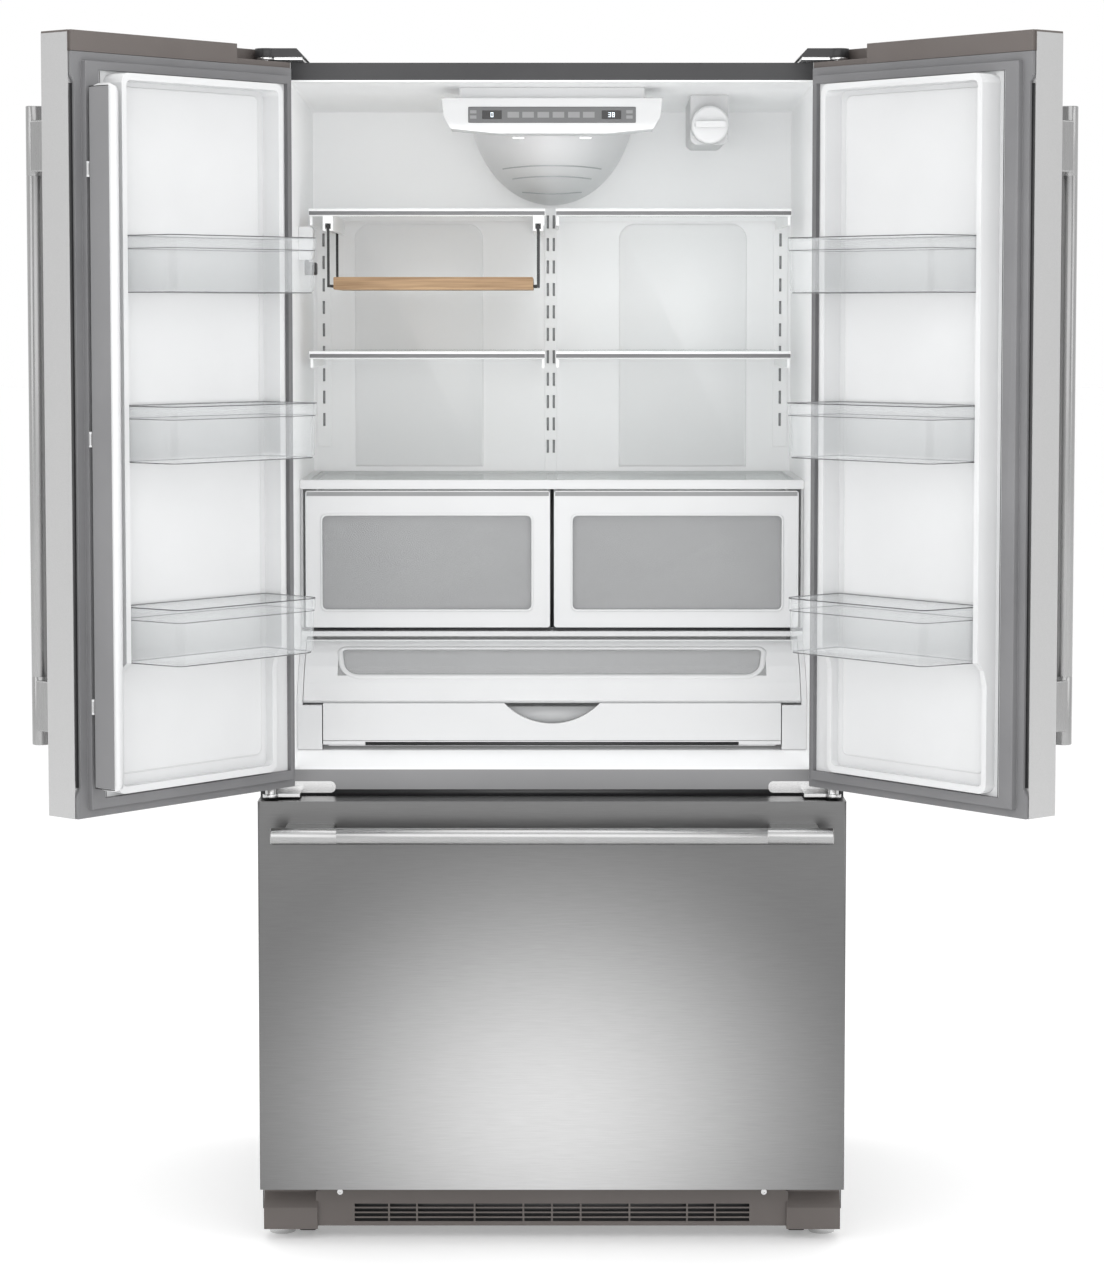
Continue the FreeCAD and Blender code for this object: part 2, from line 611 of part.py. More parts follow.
def bin_outline(low_bin):
    """Plan of a door bin; the lowest one has a slanted end."""
    back = SEAT + PANEL_N + 1
    front = SEAT + BIN_N
    free = door_x(DIKE_FREE + 1)
    hinge = door_x(DIKE_HINGE - 2)
    if low_bin:
        return [(free, back), (free, SEAT + DIKE_N + 5), (free + 14, front),
                (hinge - 6, front), (hinge, back)]
    return [(free, back), (free, front), (hinge - 12, front), (hinge, back)]


def make_bins():
    bins = []
    for rim in BIN_RIMS:
        outline = bin_outline(rim == BIN_RIMS[0])
        body = rounded(prism(outline, "z", rim - BIN_H, rim), "z", 6,
                       lambda p: p.y > SEAT + BIN_N - 1)
        middle = V(door_x((DIKE_FREE + DIKE_HINGE) / 2), SEAT + (BIN_N + PANEL_N) / 2, 0)
        inner = [(middle.x + (x - middle.x) * 0.985, middle.y + (y - middle.y) * 0.96)
                 for x, y in outline]
        hollow = rounded(prism(inner, "z", rim - BIN_H + PLASTIC, rim + 1), "z", 5,
                         lambda p: p.y > SEAT + BIN_N - 5)
        bins.append(body.cut(hollow))
    place_door_piece("door_bins", group(bins))


def bar_handle(length):
    """A bar along Z with two posts towards +Y; its axis is at x = 0, y = 0."""
    bar = rod(0, 0, 0, HANDLE_R, length, V(0, 0, 1))
    bar = bar.makeFillet(1.5, [e for e in bar.Edges if e.Curve.TypeId == "Part::GeomCircle"])
    for low in (POST_END, length - POST_END - POST_L):
        post = box(-POST_W / 2 + 1, POST_W / 2 - 1, 0, HANDLE_OUT, low, low + POST_L)
        bar = bar.fuse(rounded(post, "y", 2))
    for seam in (FERRULE_L, length - FERRULE_L):
        ring = rod(0, 0, seam - 0.4, HANDLE_R + 1, 0.8, V(0, 0, 1))
        bar = bar.cut(ring.cut(rod(0, 0, seam - 1, HANDLE_R - 0.5, 2, V(0, 0, 1))))
    return bar


def make_door_handle():
    handle = bar_handle(DOOR_BAR_TOP - DOOR_BAR_LOW)
    handle.translate(V(door_x(DOOR_BAR_IN), FACE - HANDLE_OUT, DOOR_BAR_LOW))
    place_door_piece("door_handle", handle)


def make_hinges():
    """Top hinge plates with their pins, and the brackets between door and drawer."""
    hinges = []
    plate_t = 4.0
    lead = 17.0
    plate = rod(PIVOT_X, PIVOT_Y, CASE_TOP, lead - 2, plate_t, V(0, 0, 1))
    arm = box(PIVOT_X - 55, PIVOT_X + 3, PIVOT_Y - 8, FRONT + 120, CASE_TOP, CASE_TOP + plate_t)
    pin = rod(PIVOT_X, PIVOT_Y, DOOR_TOP - CAP_H + 1, PIN_R, CASE_TOP - DOOR_TOP + CAP_H + 2,
              V(0, 0, 1))
    hinges.append(plate.fuse(arm).fuse(pin))
    shelf_z = DRAWER_TOP + 3.5
    bar_t = 5.0
    shelf = rod(PIVOT_X, PIVOT_Y, shelf_z, 12, bar_t, V(0, 0, 1))
    shelf = shelf.fuse(box(PIVOT_X - 45, PIVOT_X + 8, PIVOT_Y, FRONT, shelf_z, shelf_z + bar_t))
    wing = box(PIVOT_X - 97, PIVOT_X + 8, FRONT - 3, FRONT, shelf_z, DOOR_BOTTOM - 1)
    wing = rounded(wing, "y", 8, lambda p: p.x < PIVOT_X - 90)
    lower_pin = rod(PIVOT_X, PIVOT_Y, shelf_z, PIN_R, DOOR_BOTTOM - shelf_z + FOOT_CAP_H - 3,
                    V(0, 0, 1))
    bush = rod(PIVOT_X, PIVOT_Y, shelf_z + bar_t, 8, DOOR_BOTTOM - shelf_z - bar_t - 1,
               V(0, 0, 1))
    hinges.append(shelf.fuse(wing).fuse(lower_pin).fuse(bush))
    parts["hinges"] = group(hinges + [mirrored(h) for h in hinges])

    top = CASE_TOP + plate_t
    cover = box(PIVOT_X - 57.7, PIVOT_X + 3, PIVOT_Y - 14, FRONT + 130, top, DOOR_TOP)
    nose = rod(PIVOT_X, PIVOT_Y, top, lead, DOOR_TOP - top, V(0, 0, 1))
    cover = cover.fuse(nose)
    slope = prism([(PIVOT_X - 58, top), (PIVOT_X - 58, DOOR_TOP + 1), (PIVOT_X - 46, DOOR_TOP + 1)],
                  "y", PIVOT_Y - 30, BACK)
    tail = prism([(FRONT + 131, top), (FRONT + 131, DOOR_TOP + 1), (FRONT + 117, DOOR_TOP + 1)],
                 "x", 0, HALF)
    parts["hinge_covers"] = both(cover.cut(slope).cut(tail))


# ---------------------------------------------------------------- freezer drawer
def make_freezer_drawer():
    half = DRAWER_W / 2
    edge = SEAT - DOOR_T + DOOR_EDGE
    skin = box(-half, half, FACE, edge, DRAWER_BOTTOM, DRAWER_TOP)
    skin = rounded(skin, "z", 3.0, lambda p: p.y < FACE + 1)
    skin = skin.cut(box(-half + SHEET, half - SHEET, FACE + SHEET, edge + 1,
                        DRAWER_BOTTOM + SHEET, DRAWER_TOP - SHEET))
    parts["freezer_front_skin"] = skin

    seal = SEAT + GASKET_T - GASKET_STEP
    rim_x = half - 5
    panel = box(-half + SHEET, half - SHEET, edge - 2, edge, DRAWER_BOTTOM + SHEET,
                DRAWER_TOP - SHEET)
    plug = box(-OPEN_HALF + 45, OPEN_HALF - 45, edge, SEAT + 22, FREEZER_FLOOR + 35,
               RAIL_BOTTOM - 40)
    panel = panel.fuse(rounded(plug, "y", 20))
    parts["freezer_front_liner"] = panel
    ring = box(-rim_x, rim_x, edge, seal, DRAWER_BOTTOM + 12, DRAWER_TOP - 30)
    hole = box(-OPEN_HALF + 25, OPEN_HALF - 25, edge - 1, seal + 1, FREEZER_FLOOR + 15,
               RAIL_BOTTOM - 22)
    parts["freezer_gasket"] = ring.cut(hole)

    handle = bar_handle(DRAWER_BAR_L)
    handle.rotate(V(0, 0, 0), V(0, 1, 0), 90)
    handle.translate(V(-DRAWER_BAR_L / 2, FACE - HANDLE_OUT, DRAWER_BAR_Z))
    parts["freezer_handle"] = handle

    front_y = SEAT + 24
    rail_in = OPEN_HALF - 1 - SLIDE_W
    basket = tray(-BASKET_W / 2, BASKET_W / 2, front_y, front_y + BASKET_D, BASKET_LOW,
                  BASKET_LOW + BASKET_H, 3)
    slots = []
    for row in range(5):
        z = BASKET_LOW + 45 + row * 34
        for column in range(-4, 5):
            x = column * 74.0
            slots.append(box(x - 26, x + 26, front_y - 5, front_y + BASKET_D + 5, z, z + 18))
    basket = basket.cut(group(slots))
    lip = box(-BASKET_W / 2 - 8, BASKET_W / 2 + 8, front_y, front_y + BASKET_D,
              BASKET_LOW + BASKET_H - 3, BASKET_LOW + BASKET_H)
    lip = lip.cut(box(-BASKET_W / 2 + 1, BASKET_W / 2 - 1, front_y + 1, front_y + BASKET_D - 1,
                      BASKET_LOW, BASKET_LOW + BASKET_H + 1))
    carrier = box(BASKET_W / 2, rail_in - 6, FRONT + 2, front_y + BASKET_D,
                  SLIDE_Z + 12, SLIDE_Z + 15)
    runner = box(rail_in - 6, rail_in + SLIDE_W - 3.5, FRONT + 2, front_y + BASKET_D - 10,
                 SLIDE_Z + 8, SLIDE_Z + SLIDE_H - 8)
    hook = box(BASKET_W / 2 + 1, BASKET_W / 2 + 15, edge, FRONT + 10, SLIDE_Z + 8, SLIDE_Z + 50)
    arm = carrier.fuse(runner).fuse(hook)
    parts["freezer_basket"] = basket.fuse(lip).fuse(arm).fuse(mirrored(arm))

    channel_end = FRONT + STEP_DEPTH - 1
    channel = box(rail_in, OPEN_HALF, FRONT + 24, channel_end, SLIDE_Z, SLIDE_Z + SLIDE_H)
    channel = channel.cut(box(rail_in - 1, OPEN_HALF - 3, FRONT + 20, channel_end - 5,
                              SLIDE_Z + 7, SLIDE_Z + SLIDE_H - 7))
    parts["drawer_slides"] = both(channel)

    tray_z = BASKET_LOW + BASKET_H + RUN_GAP
    upper = tray(-TRAY_W / 2, TRAY_W / 2, front_y + 6, front_y + 6 + TRAY_D, tray_z,
                 tray_z + TRAY_H, 3)
    flange = box(-TRAY_W / 2 - 14, TRAY_W / 2 + 14, front_y + 6, front_y + 6 + TRAY_D, tray_z,
                 tray_z + 3)
    flange = flange.cut(box(-TRAY_W / 2 + 1, TRAY_W / 2 - 1, front_y - 1,
                            front_y + 10 + TRAY_D, tray_z - 1, tray_z + 5))
    parts["freezer_top_basket"] = upper.fuse(flange)


# ---------------------------------------------------------------- fresh food interior
def make_ladders():
    """Slotted uprights on the back wall."""
    def ladder(x, width, low, top, columns):
        upright = box(x - width / 2, x + width / 2, BACK_WALL - LADDER_T, BACK_WALL, low, top)
        slots = []
        count = int((top - low - 16) / SLOT_PITCH)
        for k in range(count):
            z = top - 16 - k * SLOT_PITCH
            for offset in columns:
                slots.append(box(x + offset - SLOT_W / 2, x + offset + SLOT_W / 2,
                                 BACK_WALL - LADDER_T - 1, BACK_WALL - 1.2, z - SLOT_H, z))
        return upright.cut(group(slots))

    side_x = OPEN_HALF - 18
    side = ladder(side_x, 24, LADDER_LOW + 52, LADDER_TOP - 30, (0,))
    centre = ladder(-2, LADDER_W, LADDER_LOW, LADDER_TOP, (-5, 5))
    parts["shelf_ladders"] = group([side, mirrored(side), centre])


def make_shelves():
    frames = []
    glasses = []
    back = BACK_WALL - LADDER_T - 1
    shelf_end = OPEN_HALF - SHELF_SIDE
    spans = ((-shelf_end, -11.0), (6.0, shelf_end - 6.0))
    for top in (UPPER_SHELF, LOWER_SHELF):
        for x0, x1 in spans:
            trim = box(x0, x1, SHELF_FRONT, SHELF_FRONT + 14, top - SHELF_T, top)
            trim = rounded(trim, "x", 4, lambda p: p.y < SHELF_FRONT + 1)
            trim = trim.cut(box(x0 + 5, x1 - 5, SHELF_FRONT + 8, SHELF_FRONT + 20,
                                top - GLASS_T - 1, top + 1))
            rear = box(x0, x1, back - 12, back, top - SHELF_T, top - GLASS_T - 1)
            arms = [box(x, x + 4, SHELF_FRONT + 13, back, top - SHELF_T - 14, top - GLASS_T - 1)
                    for x in (x0 + 1, x1 - 5)]
            frame = trim.fuse(rear)
            for arm in arms:
                frame = frame.fuse(arm)
            frames.append(frame)
            glasses.append(box(x0 + 5, x1 - 5, SHELF_FRONT + 8, back, top - GLASS_T - 1, top - 1))
    rear_end = SHELF_FRONT + 300
    for x in (BOARD_LEFT - 8, BOARD_RIGHT + 8):
        channel = box(x - 8, x + 8, SHELF_FRONT + 2, rear_end, HANGER_TOP - 7,
                      UPPER_SHELF - SHELF_T + 3)
        groove = box(x - HANGER_HEAD - RUN_GAP, x + HANGER_HEAD + RUN_GAP, SHELF_FRONT,
                     rear_end - 10, HANGER_TOP - HANGER_HEAD - RUN_GAP,
                     HANGER_TOP + HANGER_HEAD + RUN_GAP)
        slit = box(x - HANGER_R - RUN_GAP, x + HANGER_R + RUN_GAP, SHELF_FRONT,
                   rear_end - 10, HANGER_TOP - 10, HANGER_TOP)
        frames[0] = frames[0].fuse(channel.cut(groove).cut(slit))
    parts["shelf_frames"] = group(frames)

    cover_front = CRISPER_FRONT + 2
    side = OPEN_HALF - RUN_GAP - 14
    glasses.append(box(-side, side, cover_front + 12,
                       BACK_WALL - COVER_BACK - 8, COVER_TOP - GLASS_T, COVER_TOP))
    parts["shelf_glass"] = group(glasses)


def lid_outline(thickness):
    """Side view of the sloping pantry lid: a shallow arch."""
    run_y = LID_LOW_Y - LID_HINGE_Y
    run_z = LID_LOW_Z - LID_HINGE_Z
    length = math.hypot(run_y, run_z)
    out = (run_z / length, -run_y / length)
    points = []
    for k in range(5):
        t = k / 4
        bow = 9.0 * math.sin(math.pi * t)
        points.append((LID_HINGE_Y + run_y * t + out[0] * bow,
                       LID_HINGE_Z + run_z * t + out[1] * bow))
    inner = [(y - out[0] * thickness, z - out[1] * thickness) for y, z in points]
    return points + inner[::-1]


def make_surround():
    """White moulded frame that carries the crispers and closes in the pantry."""
    back = BACK_WALL - COVER_BACK
    side = OPEN_HALF - RUN_GAP
    cover_front = CRISPER_FRONT + 2
    cover = box(-side, side, cover_front, back, COVER_TOP - COVER_H, COVER_TOP)
    cover = cover.cut(box(-side + 14, side - 14, cover_front + 12, back - 8,
                          COVER_TOP - GLASS_T, COVER_TOP + 1))
    cover = cover.cut(box(-side + 22, side - 22, cover_front + 22, back - 18,
                          COVER_TOP - COVER_H - 1, COVER_TOP + 1))
    cover = cover.fuse(box(-8, 8, cover_front + 12, back - 18, COVER_TOP - COVER_H,
                           COVER_TOP - GLASS_T))
    shelf = box(-side, side, CRISPER_FRONT + 8, back, DIVIDER_TOP - DIVIDER_H, DIVIDER_TOP)
    wall = box(-2, 2, CRISPER_FRONT + 14, back, DIVIDER_TOP, COVER_TOP - COVER_H)
    frame = cover.fuse(shelf).fuse(wall)
    for direction in (-1, 1):
        a = direction * side
        b = direction * (side - 4)
        cheek = box(min(a, b), max(a, b), CRISPER_FRONT + 14, back, FLOOR_Z + 1,
                    COVER_TOP - COVER_H)
        frame = frame.fuse(cheek)
        c = direction * (PANTRY_W / 2 + 1.5)
        jamb = box(min(a, c), max(a, c), PANTRY_FRONT, PANTRY_FRONT + 60, FLOOR_Z + 1,
                   PANTRY_TOP - 3)
        jamb = jamb.cut(box(min(a, c) + 3, max(a, c) - 3, PANTRY_FRONT + 3, PANTRY_FRONT + 61,
                            FLOOR_Z, PANTRY_TOP - 6))
        frame = frame.fuse(jamb)
        d = direction * (LID_W / 2 + 1)
        outline = [(PANTRY_FRONT, PANTRY_TOP - 5)] + lid_outline(0)[:5][::-1]
        outline += [(LID_HINGE_Y, LID_HINGE_Z + 8), (CRISPER_FRONT + 60, LID_HINGE_Z + 8),
                    (CRISPER_FRONT + 60, PANTRY_TOP - 5)]
        ear = prism(outline, "x", min(a, d), max(a, d))
        frame = frame.fuse(ear)
    for direction in (-1, 1):
        d = direction * (LID_W / 2 + 1)
        frame = frame.cut(rod(d - 6, LID_HINGE_Y + 6, LID_HINGE_Z - 3, LID_PIN_R + PIN_FIT, 12,
                              V(1, 0, 0)))
    parts["drawer_surround"] = frame


def make_crispers():
    low = CRISPER_LOW
    x0 = CRISPER_GAP / 2
    x1 = x0 + CRISPER_W
    face = rounded(box(x0, x1, CRISPER_FRONT, CRISPER_FRONT + CRISPER_FACE_T, low, CRISPER_TOP),
                   "y", 4)
    window = rounded(box(x0 + 29, x1 - 26, CRISPER_FRONT - 1, CRISPER_FRONT + 30, low + 28,
                         CRISPER_TOP - 39), "y", 7)
    face = face.cut(window)
    y0 = CRISPER_FRONT + CRISPER_FACE_T
    drawer = tray(x0 + 6, x1 - 7, y0, y0 + CRISPER_DEPTH, low + 2, CRISPER_TOP - 8, PLASTIC)
    parts["right_crisper_front"] = face
    parts["right_crisper_bin"] = drawer
    parts["left_crisper_front"] = mirrored(face)
    parts["left_crisper_bin"] = mirrored(drawer)


def make_pantry():
    half = PANTRY_W / 2
    face = box(-half, half, PANTRY_FRONT, PANTRY_FRONT + PANTRY_FACE_T, PANTRY_LOW, PANTRY_TOP)
    face = face.cut(box(-half + 66, half - 66, PANTRY_FRONT - 1, PANTRY_FRONT + 20,
                        PANTRY_LOW - 1, PANTRY_LOW + 4))
    y0 = PANTRY_FRONT + PANTRY_FACE_T
    body = tray(-half + 8, half - 8, y0 - 1, y0 + PANTRY_DEPTH, FLOOR_Z + 6, PANTRY_TOP - 6,
                PLASTIC)
    drawer = face.fuse(body)
    grip_r = (GRIP_W ** 2 / 4 + GRIP_DROP ** 2) / (2 * GRIP_DROP)
    grip = rod(0, PANTRY_FRONT - 1, PANTRY_TOP - GRIP_DROP + grip_r, grip_r,
               PANTRY_FACE_T + PLASTIC, V(0, 1, 0))
    parts["pantry_drawer"] = drawer.cut(grip)

    half_lid = LID_W / 2
    lid = prism(lid_outline(LID_T), "x", -half_lid, half_lid)
    run_y = LID_LOW_Y - LID_HINGE_Y
    run_z = LID_LOW_Z - LID_HINGE_Z
    cut_outline = [(LID_HINGE_Y + run_y * t + dy, LID_HINGE_Z + run_z * t + dz)
                   for t, dy, dz in ((0.18, -30, 30), (0.64, -30, 30), (0.64, 20, -20),
                                     (0.18, 20, -20))]
    half_window = half_lid - 52.0
    window = rounded(prism(cut_outline, "x", -half_window, half_window), "x", 0.5)
    clear = lid.common(window)
    hub = box(-half_lid, half_lid, LID_HINGE_Y - 2, LID_HINGE_Y + 10, LID_HINGE_Z - 7,
              LID_HINGE_Z + 1)
    lid = lid.cut(window).fuse(hub)
    for direction in (-1, 1):
        end = direction * half_lid
        pin = rod(end - 4, LID_HINGE_Y + 6, LID_HINGE_Z - 3, LID_PIN_R, 8, V(1, 0, 0))
        lid = lid.fuse(pin)
    parts["pantry_lid"] = lid
    parts["pantry_lid_window"] = clear


def make_board():
    front = SHELF_FRONT + 8
    slab = box(BOARD_LEFT, BOARD_RIGHT, front, front + BOARD_D, BOARD_TOP - BOARD_T, BOARD_TOP)
    parts["wood_board"] = rounded(slab, "y", 2)
    loops = []
    for x in (BOARD_LEFT - 8, BOARD_RIGHT + 8):
        y0 = front + 3
        y1 = front + BOARD_D - 3
        z0 = BOARD_TOP - BOARD_T + 6
        z1 = HANGER_TOP
        r = HANGER_R
        bars = [
            rod(x, y0 - r, z1, HANGER_HEAD, y1 - y0 + 2 * r, V(0, 1, 0)),
            box(x - r, x + r, y0 - r, y1 + r, z0 - r, z0 + r),
            box(x - r, x + r, y0 - r, y0 + r, z0 + r, z1),
            box(x - r, x + r, y1 - r, y1 + r, z0 + r, z1),
        ]
        inward = 1 if x < (BOARD_LEFT + BOARD_RIGHT) / 2 else -1
        for y in (y0 + 20, y1 - 20):
            start = x if inward > 0 else x - 8
            bars.append(box(start, start + 8, y - r, y + r, z0 - r, z0 + r))
        loop = bars[0]
        for bar in bars[1:]:
            loop = loop.fuse(bar)
        loops.append(loop)
    parts["tray_hangers"] = group(loops)


def make_controls():
    top = HOUSING_TOP
    half = HOUSING_W / 2
    outline = [(-half, top), (half, top), (half - 3, HOUSING_LOW + 26), (half - 14, HOUSING_LOW + 7),
               (half * 0.5, HOUSING_LOW), (-half * 0.5, HOUSING_LOW),
               (-half + 14, HOUSING_LOW + 7), (-half + 3, HOUSING_LOW + 26)]
    back = HOUSING_FRONT + HOUSING_D
    housing = prism(outline, "y", HOUSING_FRONT, back)
    hollow = [(x * 0.94, HOUSING_LOW + (z - HOUSING_LOW) * 0.9 + 3) for x, z in outline]
    housing = housing.cut(prism(hollow, "y", HOUSING_FRONT + 6, back - 4))
    panel = rounded(box(-130, 130, HOUSING_FRONT - 1, HOUSING_FRONT + 1.5, HOUSING_LOW + 16,
                        HOUSING_LOW + 41), "y", 3)
    neck = box(-half * 0.84, half * 0.84, HOUSING_FRONT + 14, back - 8, top - 1, FRESH_TOP)
    housing = under_ceiling(housing.cut(panel).fuse(neck))
    sleeve = box(FILTER_X - FILTER_R, FILTER_X + FILTER_R, FILTER_FRONT + 30, FILTER_FRONT + 225,
                 FILTER_Z - FILTER_R, FRESH_TOP)
    sleeve = rounded(sleeve, "y", 12, lambda p: p.z < FILTER_Z)
    cartridge_r = FILTER_R - 6
    sleeve = sleeve.cut(rod(FILTER_X, FILTER_FRONT, FILTER_Z, cartridge_r + PIN_FIT, 220,
                            V(0, 1, 0)))
    parts["control_housing"] = group([housing, under_ceiling(sleeve)])

    lamp_top = FRESH_TOP
    drop = lamp_top - LAMP_LOW

    def dome(shrink):
        ball = Part.makeSphere(1.0)
        scale = FreeCAD.Matrix()
        scale.scale(LAMP_HALF_W - shrink, LAMP_D - shrink, drop - shrink)
        ball = ball.transformGeometry(scale)
        ball.translate(V(0, BACK_WALL - RUN_GAP, lamp_top))
        return ball

    keep = box(-LAMP_HALF_W - 5, LAMP_HALF_W + 5, back + 1, BACK_WALL - RUN_GAP,
               LAMP_LOW - 5, lamp_top)
    parts["light_cover"] = under_ceiling(dome(0).common(keep).cut(dome(PLASTIC)))

    hub = rod(FILTER_X, FILTER_FRONT, FILTER_Z, FILTER_R, 26, V(0, 1, 0))
    hub = hub.makeFillet(5, [e for e in hub.Edges if abs(e.BoundBox.YMax - FILTER_FRONT) < 1e-6])
    blade = rounded(box(FILTER_X - 24, FILTER_X + 24, FILTER_FRONT - 12, FILTER_FRONT + 2,
                        FILTER_Z - 5, FILTER_Z + 5), "y", 4)
    cartridge = rod(FILTER_X, FILTER_FRONT + 26, FILTER_Z, cartridge_r, 190, V(0, 1, 0))
    parts["filter_cap"] = hub.fuse(blade).fuse(cartridge)

    wall = -OPEN_HALF + RUN_GAP
    body = box(wall, wall + 22, LEVER_Y - 22, LEVER_Y + 22, LEVER_Z + 14, LEVER_Z + 66)
    body = rounded(body, "y", 6, lambda p: p.x > wall + 10)
    pocket = box(wall + 3, wall + 19, LEVER_Y - 10, LEVER_Y + 10, LEVER_Z + 13, LEVER_Z + 34)
    body = body.cut(pocket)
    spout = rod(wall + 9, LEVER_Y + 16, LEVER_Z + 4, 3, 12, V(0, 0, 1))
    body = body.fuse(spout)
    axis_z = LEVER_Z + 26
    bore = rod(wall + 11, LEVER_Y - 16, axis_z, 2.5 + PIN_FIT, 32, V(0, 1, 0))
    parts["dispenser_housing"] = body.cut(bore)
    paddle = box(wall + 8, wall + 14, LEVER_Y - 8, LEVER_Y + 8, LEVER_Z - 10, axis_z)
    pad = rounded(box(wall + 8, wall + 27, LEVER_Y - 12, LEVER_Y + 12, LEVER_Z - 10, LEVER_Z + 10),
                  "y", 3)
    pin = rod(wall + 11, LEVER_Y - 15, axis_z, 2.5, 30, V(0, 1, 0))
    parts["dispenser_lever"] = paddle.fuse(pad).fuse(pin)


# ---------------------------------------------------------------- cooling system
def serpentine(x0, x1, rows, pitch, radius, y, z):
    """A tube that runs to and fro along X with half-round returns, rising in Z."""
    pieces = []
    for k in range(rows):
        pieces.append(rod(x0, y, z + k * pitch, radius, x1 - x0, V(1, 0, 0)))
        if k < rows - 1:
            end = x1 if k % 2 == 0 else x0
            centre = V(end, y, z + k * pitch + pitch / 2)
            bend = Part.makeTorus(pitch / 2, radius, centre, V(0, 1, 0))
            side = 1 if end == x1 else -1
            half = box(min(end, end + side * pitch), max(end, end + side * pitch),
                       y - pitch, y + pitch, centre.z - pitch, centre.z + pitch)
            pieces.append(bend.common(half))
    tube = pieces[0]
    for piece in pieces[1:]:
        tube = tube.fuse(piece)
    return tube


def make_cooling(machine_front, base_top):
    """Compressor, the two coils with their fins, and the two fans in their housings."""
    floor = base_top - 20
    can_x = 270.0
    can_y = (machine_front + BACK) / 2 + 14
    can = rod(can_x, can_y, floor + 20, 72, 100, V(0, 0, 1))
    dome = Part.makeSphere(72, V(can_x, can_y, floor + 120)).common(
        box(can_x - 80, can_x + 80, can_y - 80, can_y + 80, floor + 120, floor + 158))
    legs = box(can_x - 80, can_x + 80, can_y - 50, can_y + 50, floor + 12, floor + 20)
    feet = [rod(can_x + dx, can_y + dy, floor, 8, 12, V(0, 0, 1))
            for dx in (-70, 70) for dy in (-40, 40)]
    compressor = can.fuse(dome).fuse(legs)
    for foot in feet:
        compressor = compressor.fuse(foot)
    parts["compressor"] = compressor

    coils = [serpentine(-360, -150, 6, 22, 2.4, can_y - 40 + layer * 28, floor + 30)
             for layer in range(3)]
    fins = [box(x, x + 0.8, can_y - 48, can_y + 24, floor + 20, floor + 150)
            for x in range(-350, -150, 20)]
    block = coils[0]
    for piece in coils[1:] + fins:
        block = block.fuse(piece)
    foot = box(-360, -150, can_y - 50, can_y + 26, floor, floor + 20)
    parts["condenser_coil"] = block.fuse(foot)

    chamber = FRONT + FREEZER_DEPTH
    low = STEP_Z + 30
    tubes = [serpentine(-290, 290, 7, 26, 3.2, chamber - 42 + layer * 22, low + 20)
             for layer in range(2)]
    plates = [box(x, x + 0.8, chamber - 52, chamber - 10, low + 8, low + 178)
              for x in range(-280, 290, 40)]
    coil = tubes[0]
    for piece in tubes[1:] + plates:
        coil = coil.fuse(piece)
    carrier = box(-300, 300, chamber - 56, chamber - 6, STEP_Z, low + 8)
    parts["evaporator_coil"] = coil.fuse(carrier)

    wall_y = chamber - 74
    wall = box(-OPEN_HALF + 2, OPEN_HALF - 2, wall_y, wall_y + PLASTIC, STEP_Z,
               RAIL_BOTTOM - PLASTIC)
    fan_z = RAIL_BOTTOM - 52
    wall = wall.cut(rod(0, wall_y - 1, fan_z, 42, 10, V(0, 1, 0)))
    vents = [box(x - 40, x + 40, wall_y - 1, wall_y + 5, STEP_Z + 14 + row * 14,
                 STEP_Z + 20 + row * 14) for x in (-240, -120, 0, 120, 240) for row in range(3)]
    wall = wall.cut(group(vents))
    motor = rod(0, wall_y + 22, fan_z, 15, 30, V(0, 1, 0))
    spokes = [box(-48, 48, wall_y + 30, wall_y + 34, fan_z - 3, fan_z + 3),
              box(-3, 3, wall_y + 30, wall_y + 34, fan_z - 48, fan_z + 48)]
    mount = motor
    for spoke in spokes:
        mount = mount.fuse(spoke)
    posts = [box(side * 48 - 3, side * 48 + 3, wall_y, wall_y + 34, fan_z - 3, fan_z + 3)
             for side in (-1, 1)]
    for post in posts:
        mount = mount.fuse(post)
    mount = mount.cut(rod(0, wall_y, fan_z, 2.5 + PIN_FIT, 40, V(0, 1, 0)))
    cover = wall.fuse(mount)
    parts["evaporator_fan"] = fan(0, wall_y + 5, fan_z, 38, 12, 18)

    fan_y = can_y - 8
    plate = box(-86, -84, fan_y - 70, fan_y + 70, floor, floor + 150)
    plate = plate.cut(rod(-90, fan_y, floor + 82, 62, 10, V(1, 0, 0)))
    bars = [box(-86, -84, fan_y - 63, fan_y + 63, floor + 79, floor + 85),
            box(-86, -84, fan_y - 3, fan_y + 3, floor + 19, floor + 145)]
    plate = plate.fuse(bars[0]).fuse(bars[1])
    hub = rod(-86, fan_y, floor + 82, 20, 34, V(1, 0, 0))
    plate = plate.fuse(hub).cut(rod(-90, fan_y, floor + 82, 2.5 + PIN_FIT, 50, V(1, 0, 0)))
    parts["fan_housings"] = group([cover, plate])
    blades = fan(0, 0, 0, 56, 18, 16)
    blades.rotate(V(0, 0, 0), V(0, 0, 1), -90)
    blades.translate(V(-110, fan_y, floor + 82))
    parts["condenser_fan"] = blades


def fan(x, y, z, radius, width, stub):
    """Hub and five tilted blades turning about Y, with a stub shaft behind."""
    hub = rod(x, y, z, radius * 0.3, width, V(0, 1, 0))
    wheel = hub
    for k in range(5):
        blade = box(radius * 0.2, radius - 1, -1, 1, -width * 0.75, width * 0.75)
        blade.rotate(V(0, 0, 0), V(1, 0, 0), 55)
        blade.translate(V(x, y + width / 2, z))
        blade.rotate(V(x, y + width / 2, z), V(0, 1, 0), 72 * k)
        wheel = wheel.fuse(blade)
    return wheel.fuse(rod(x, y + width - 1, z, 2.5, stub + 1, V(0, 1, 0)))


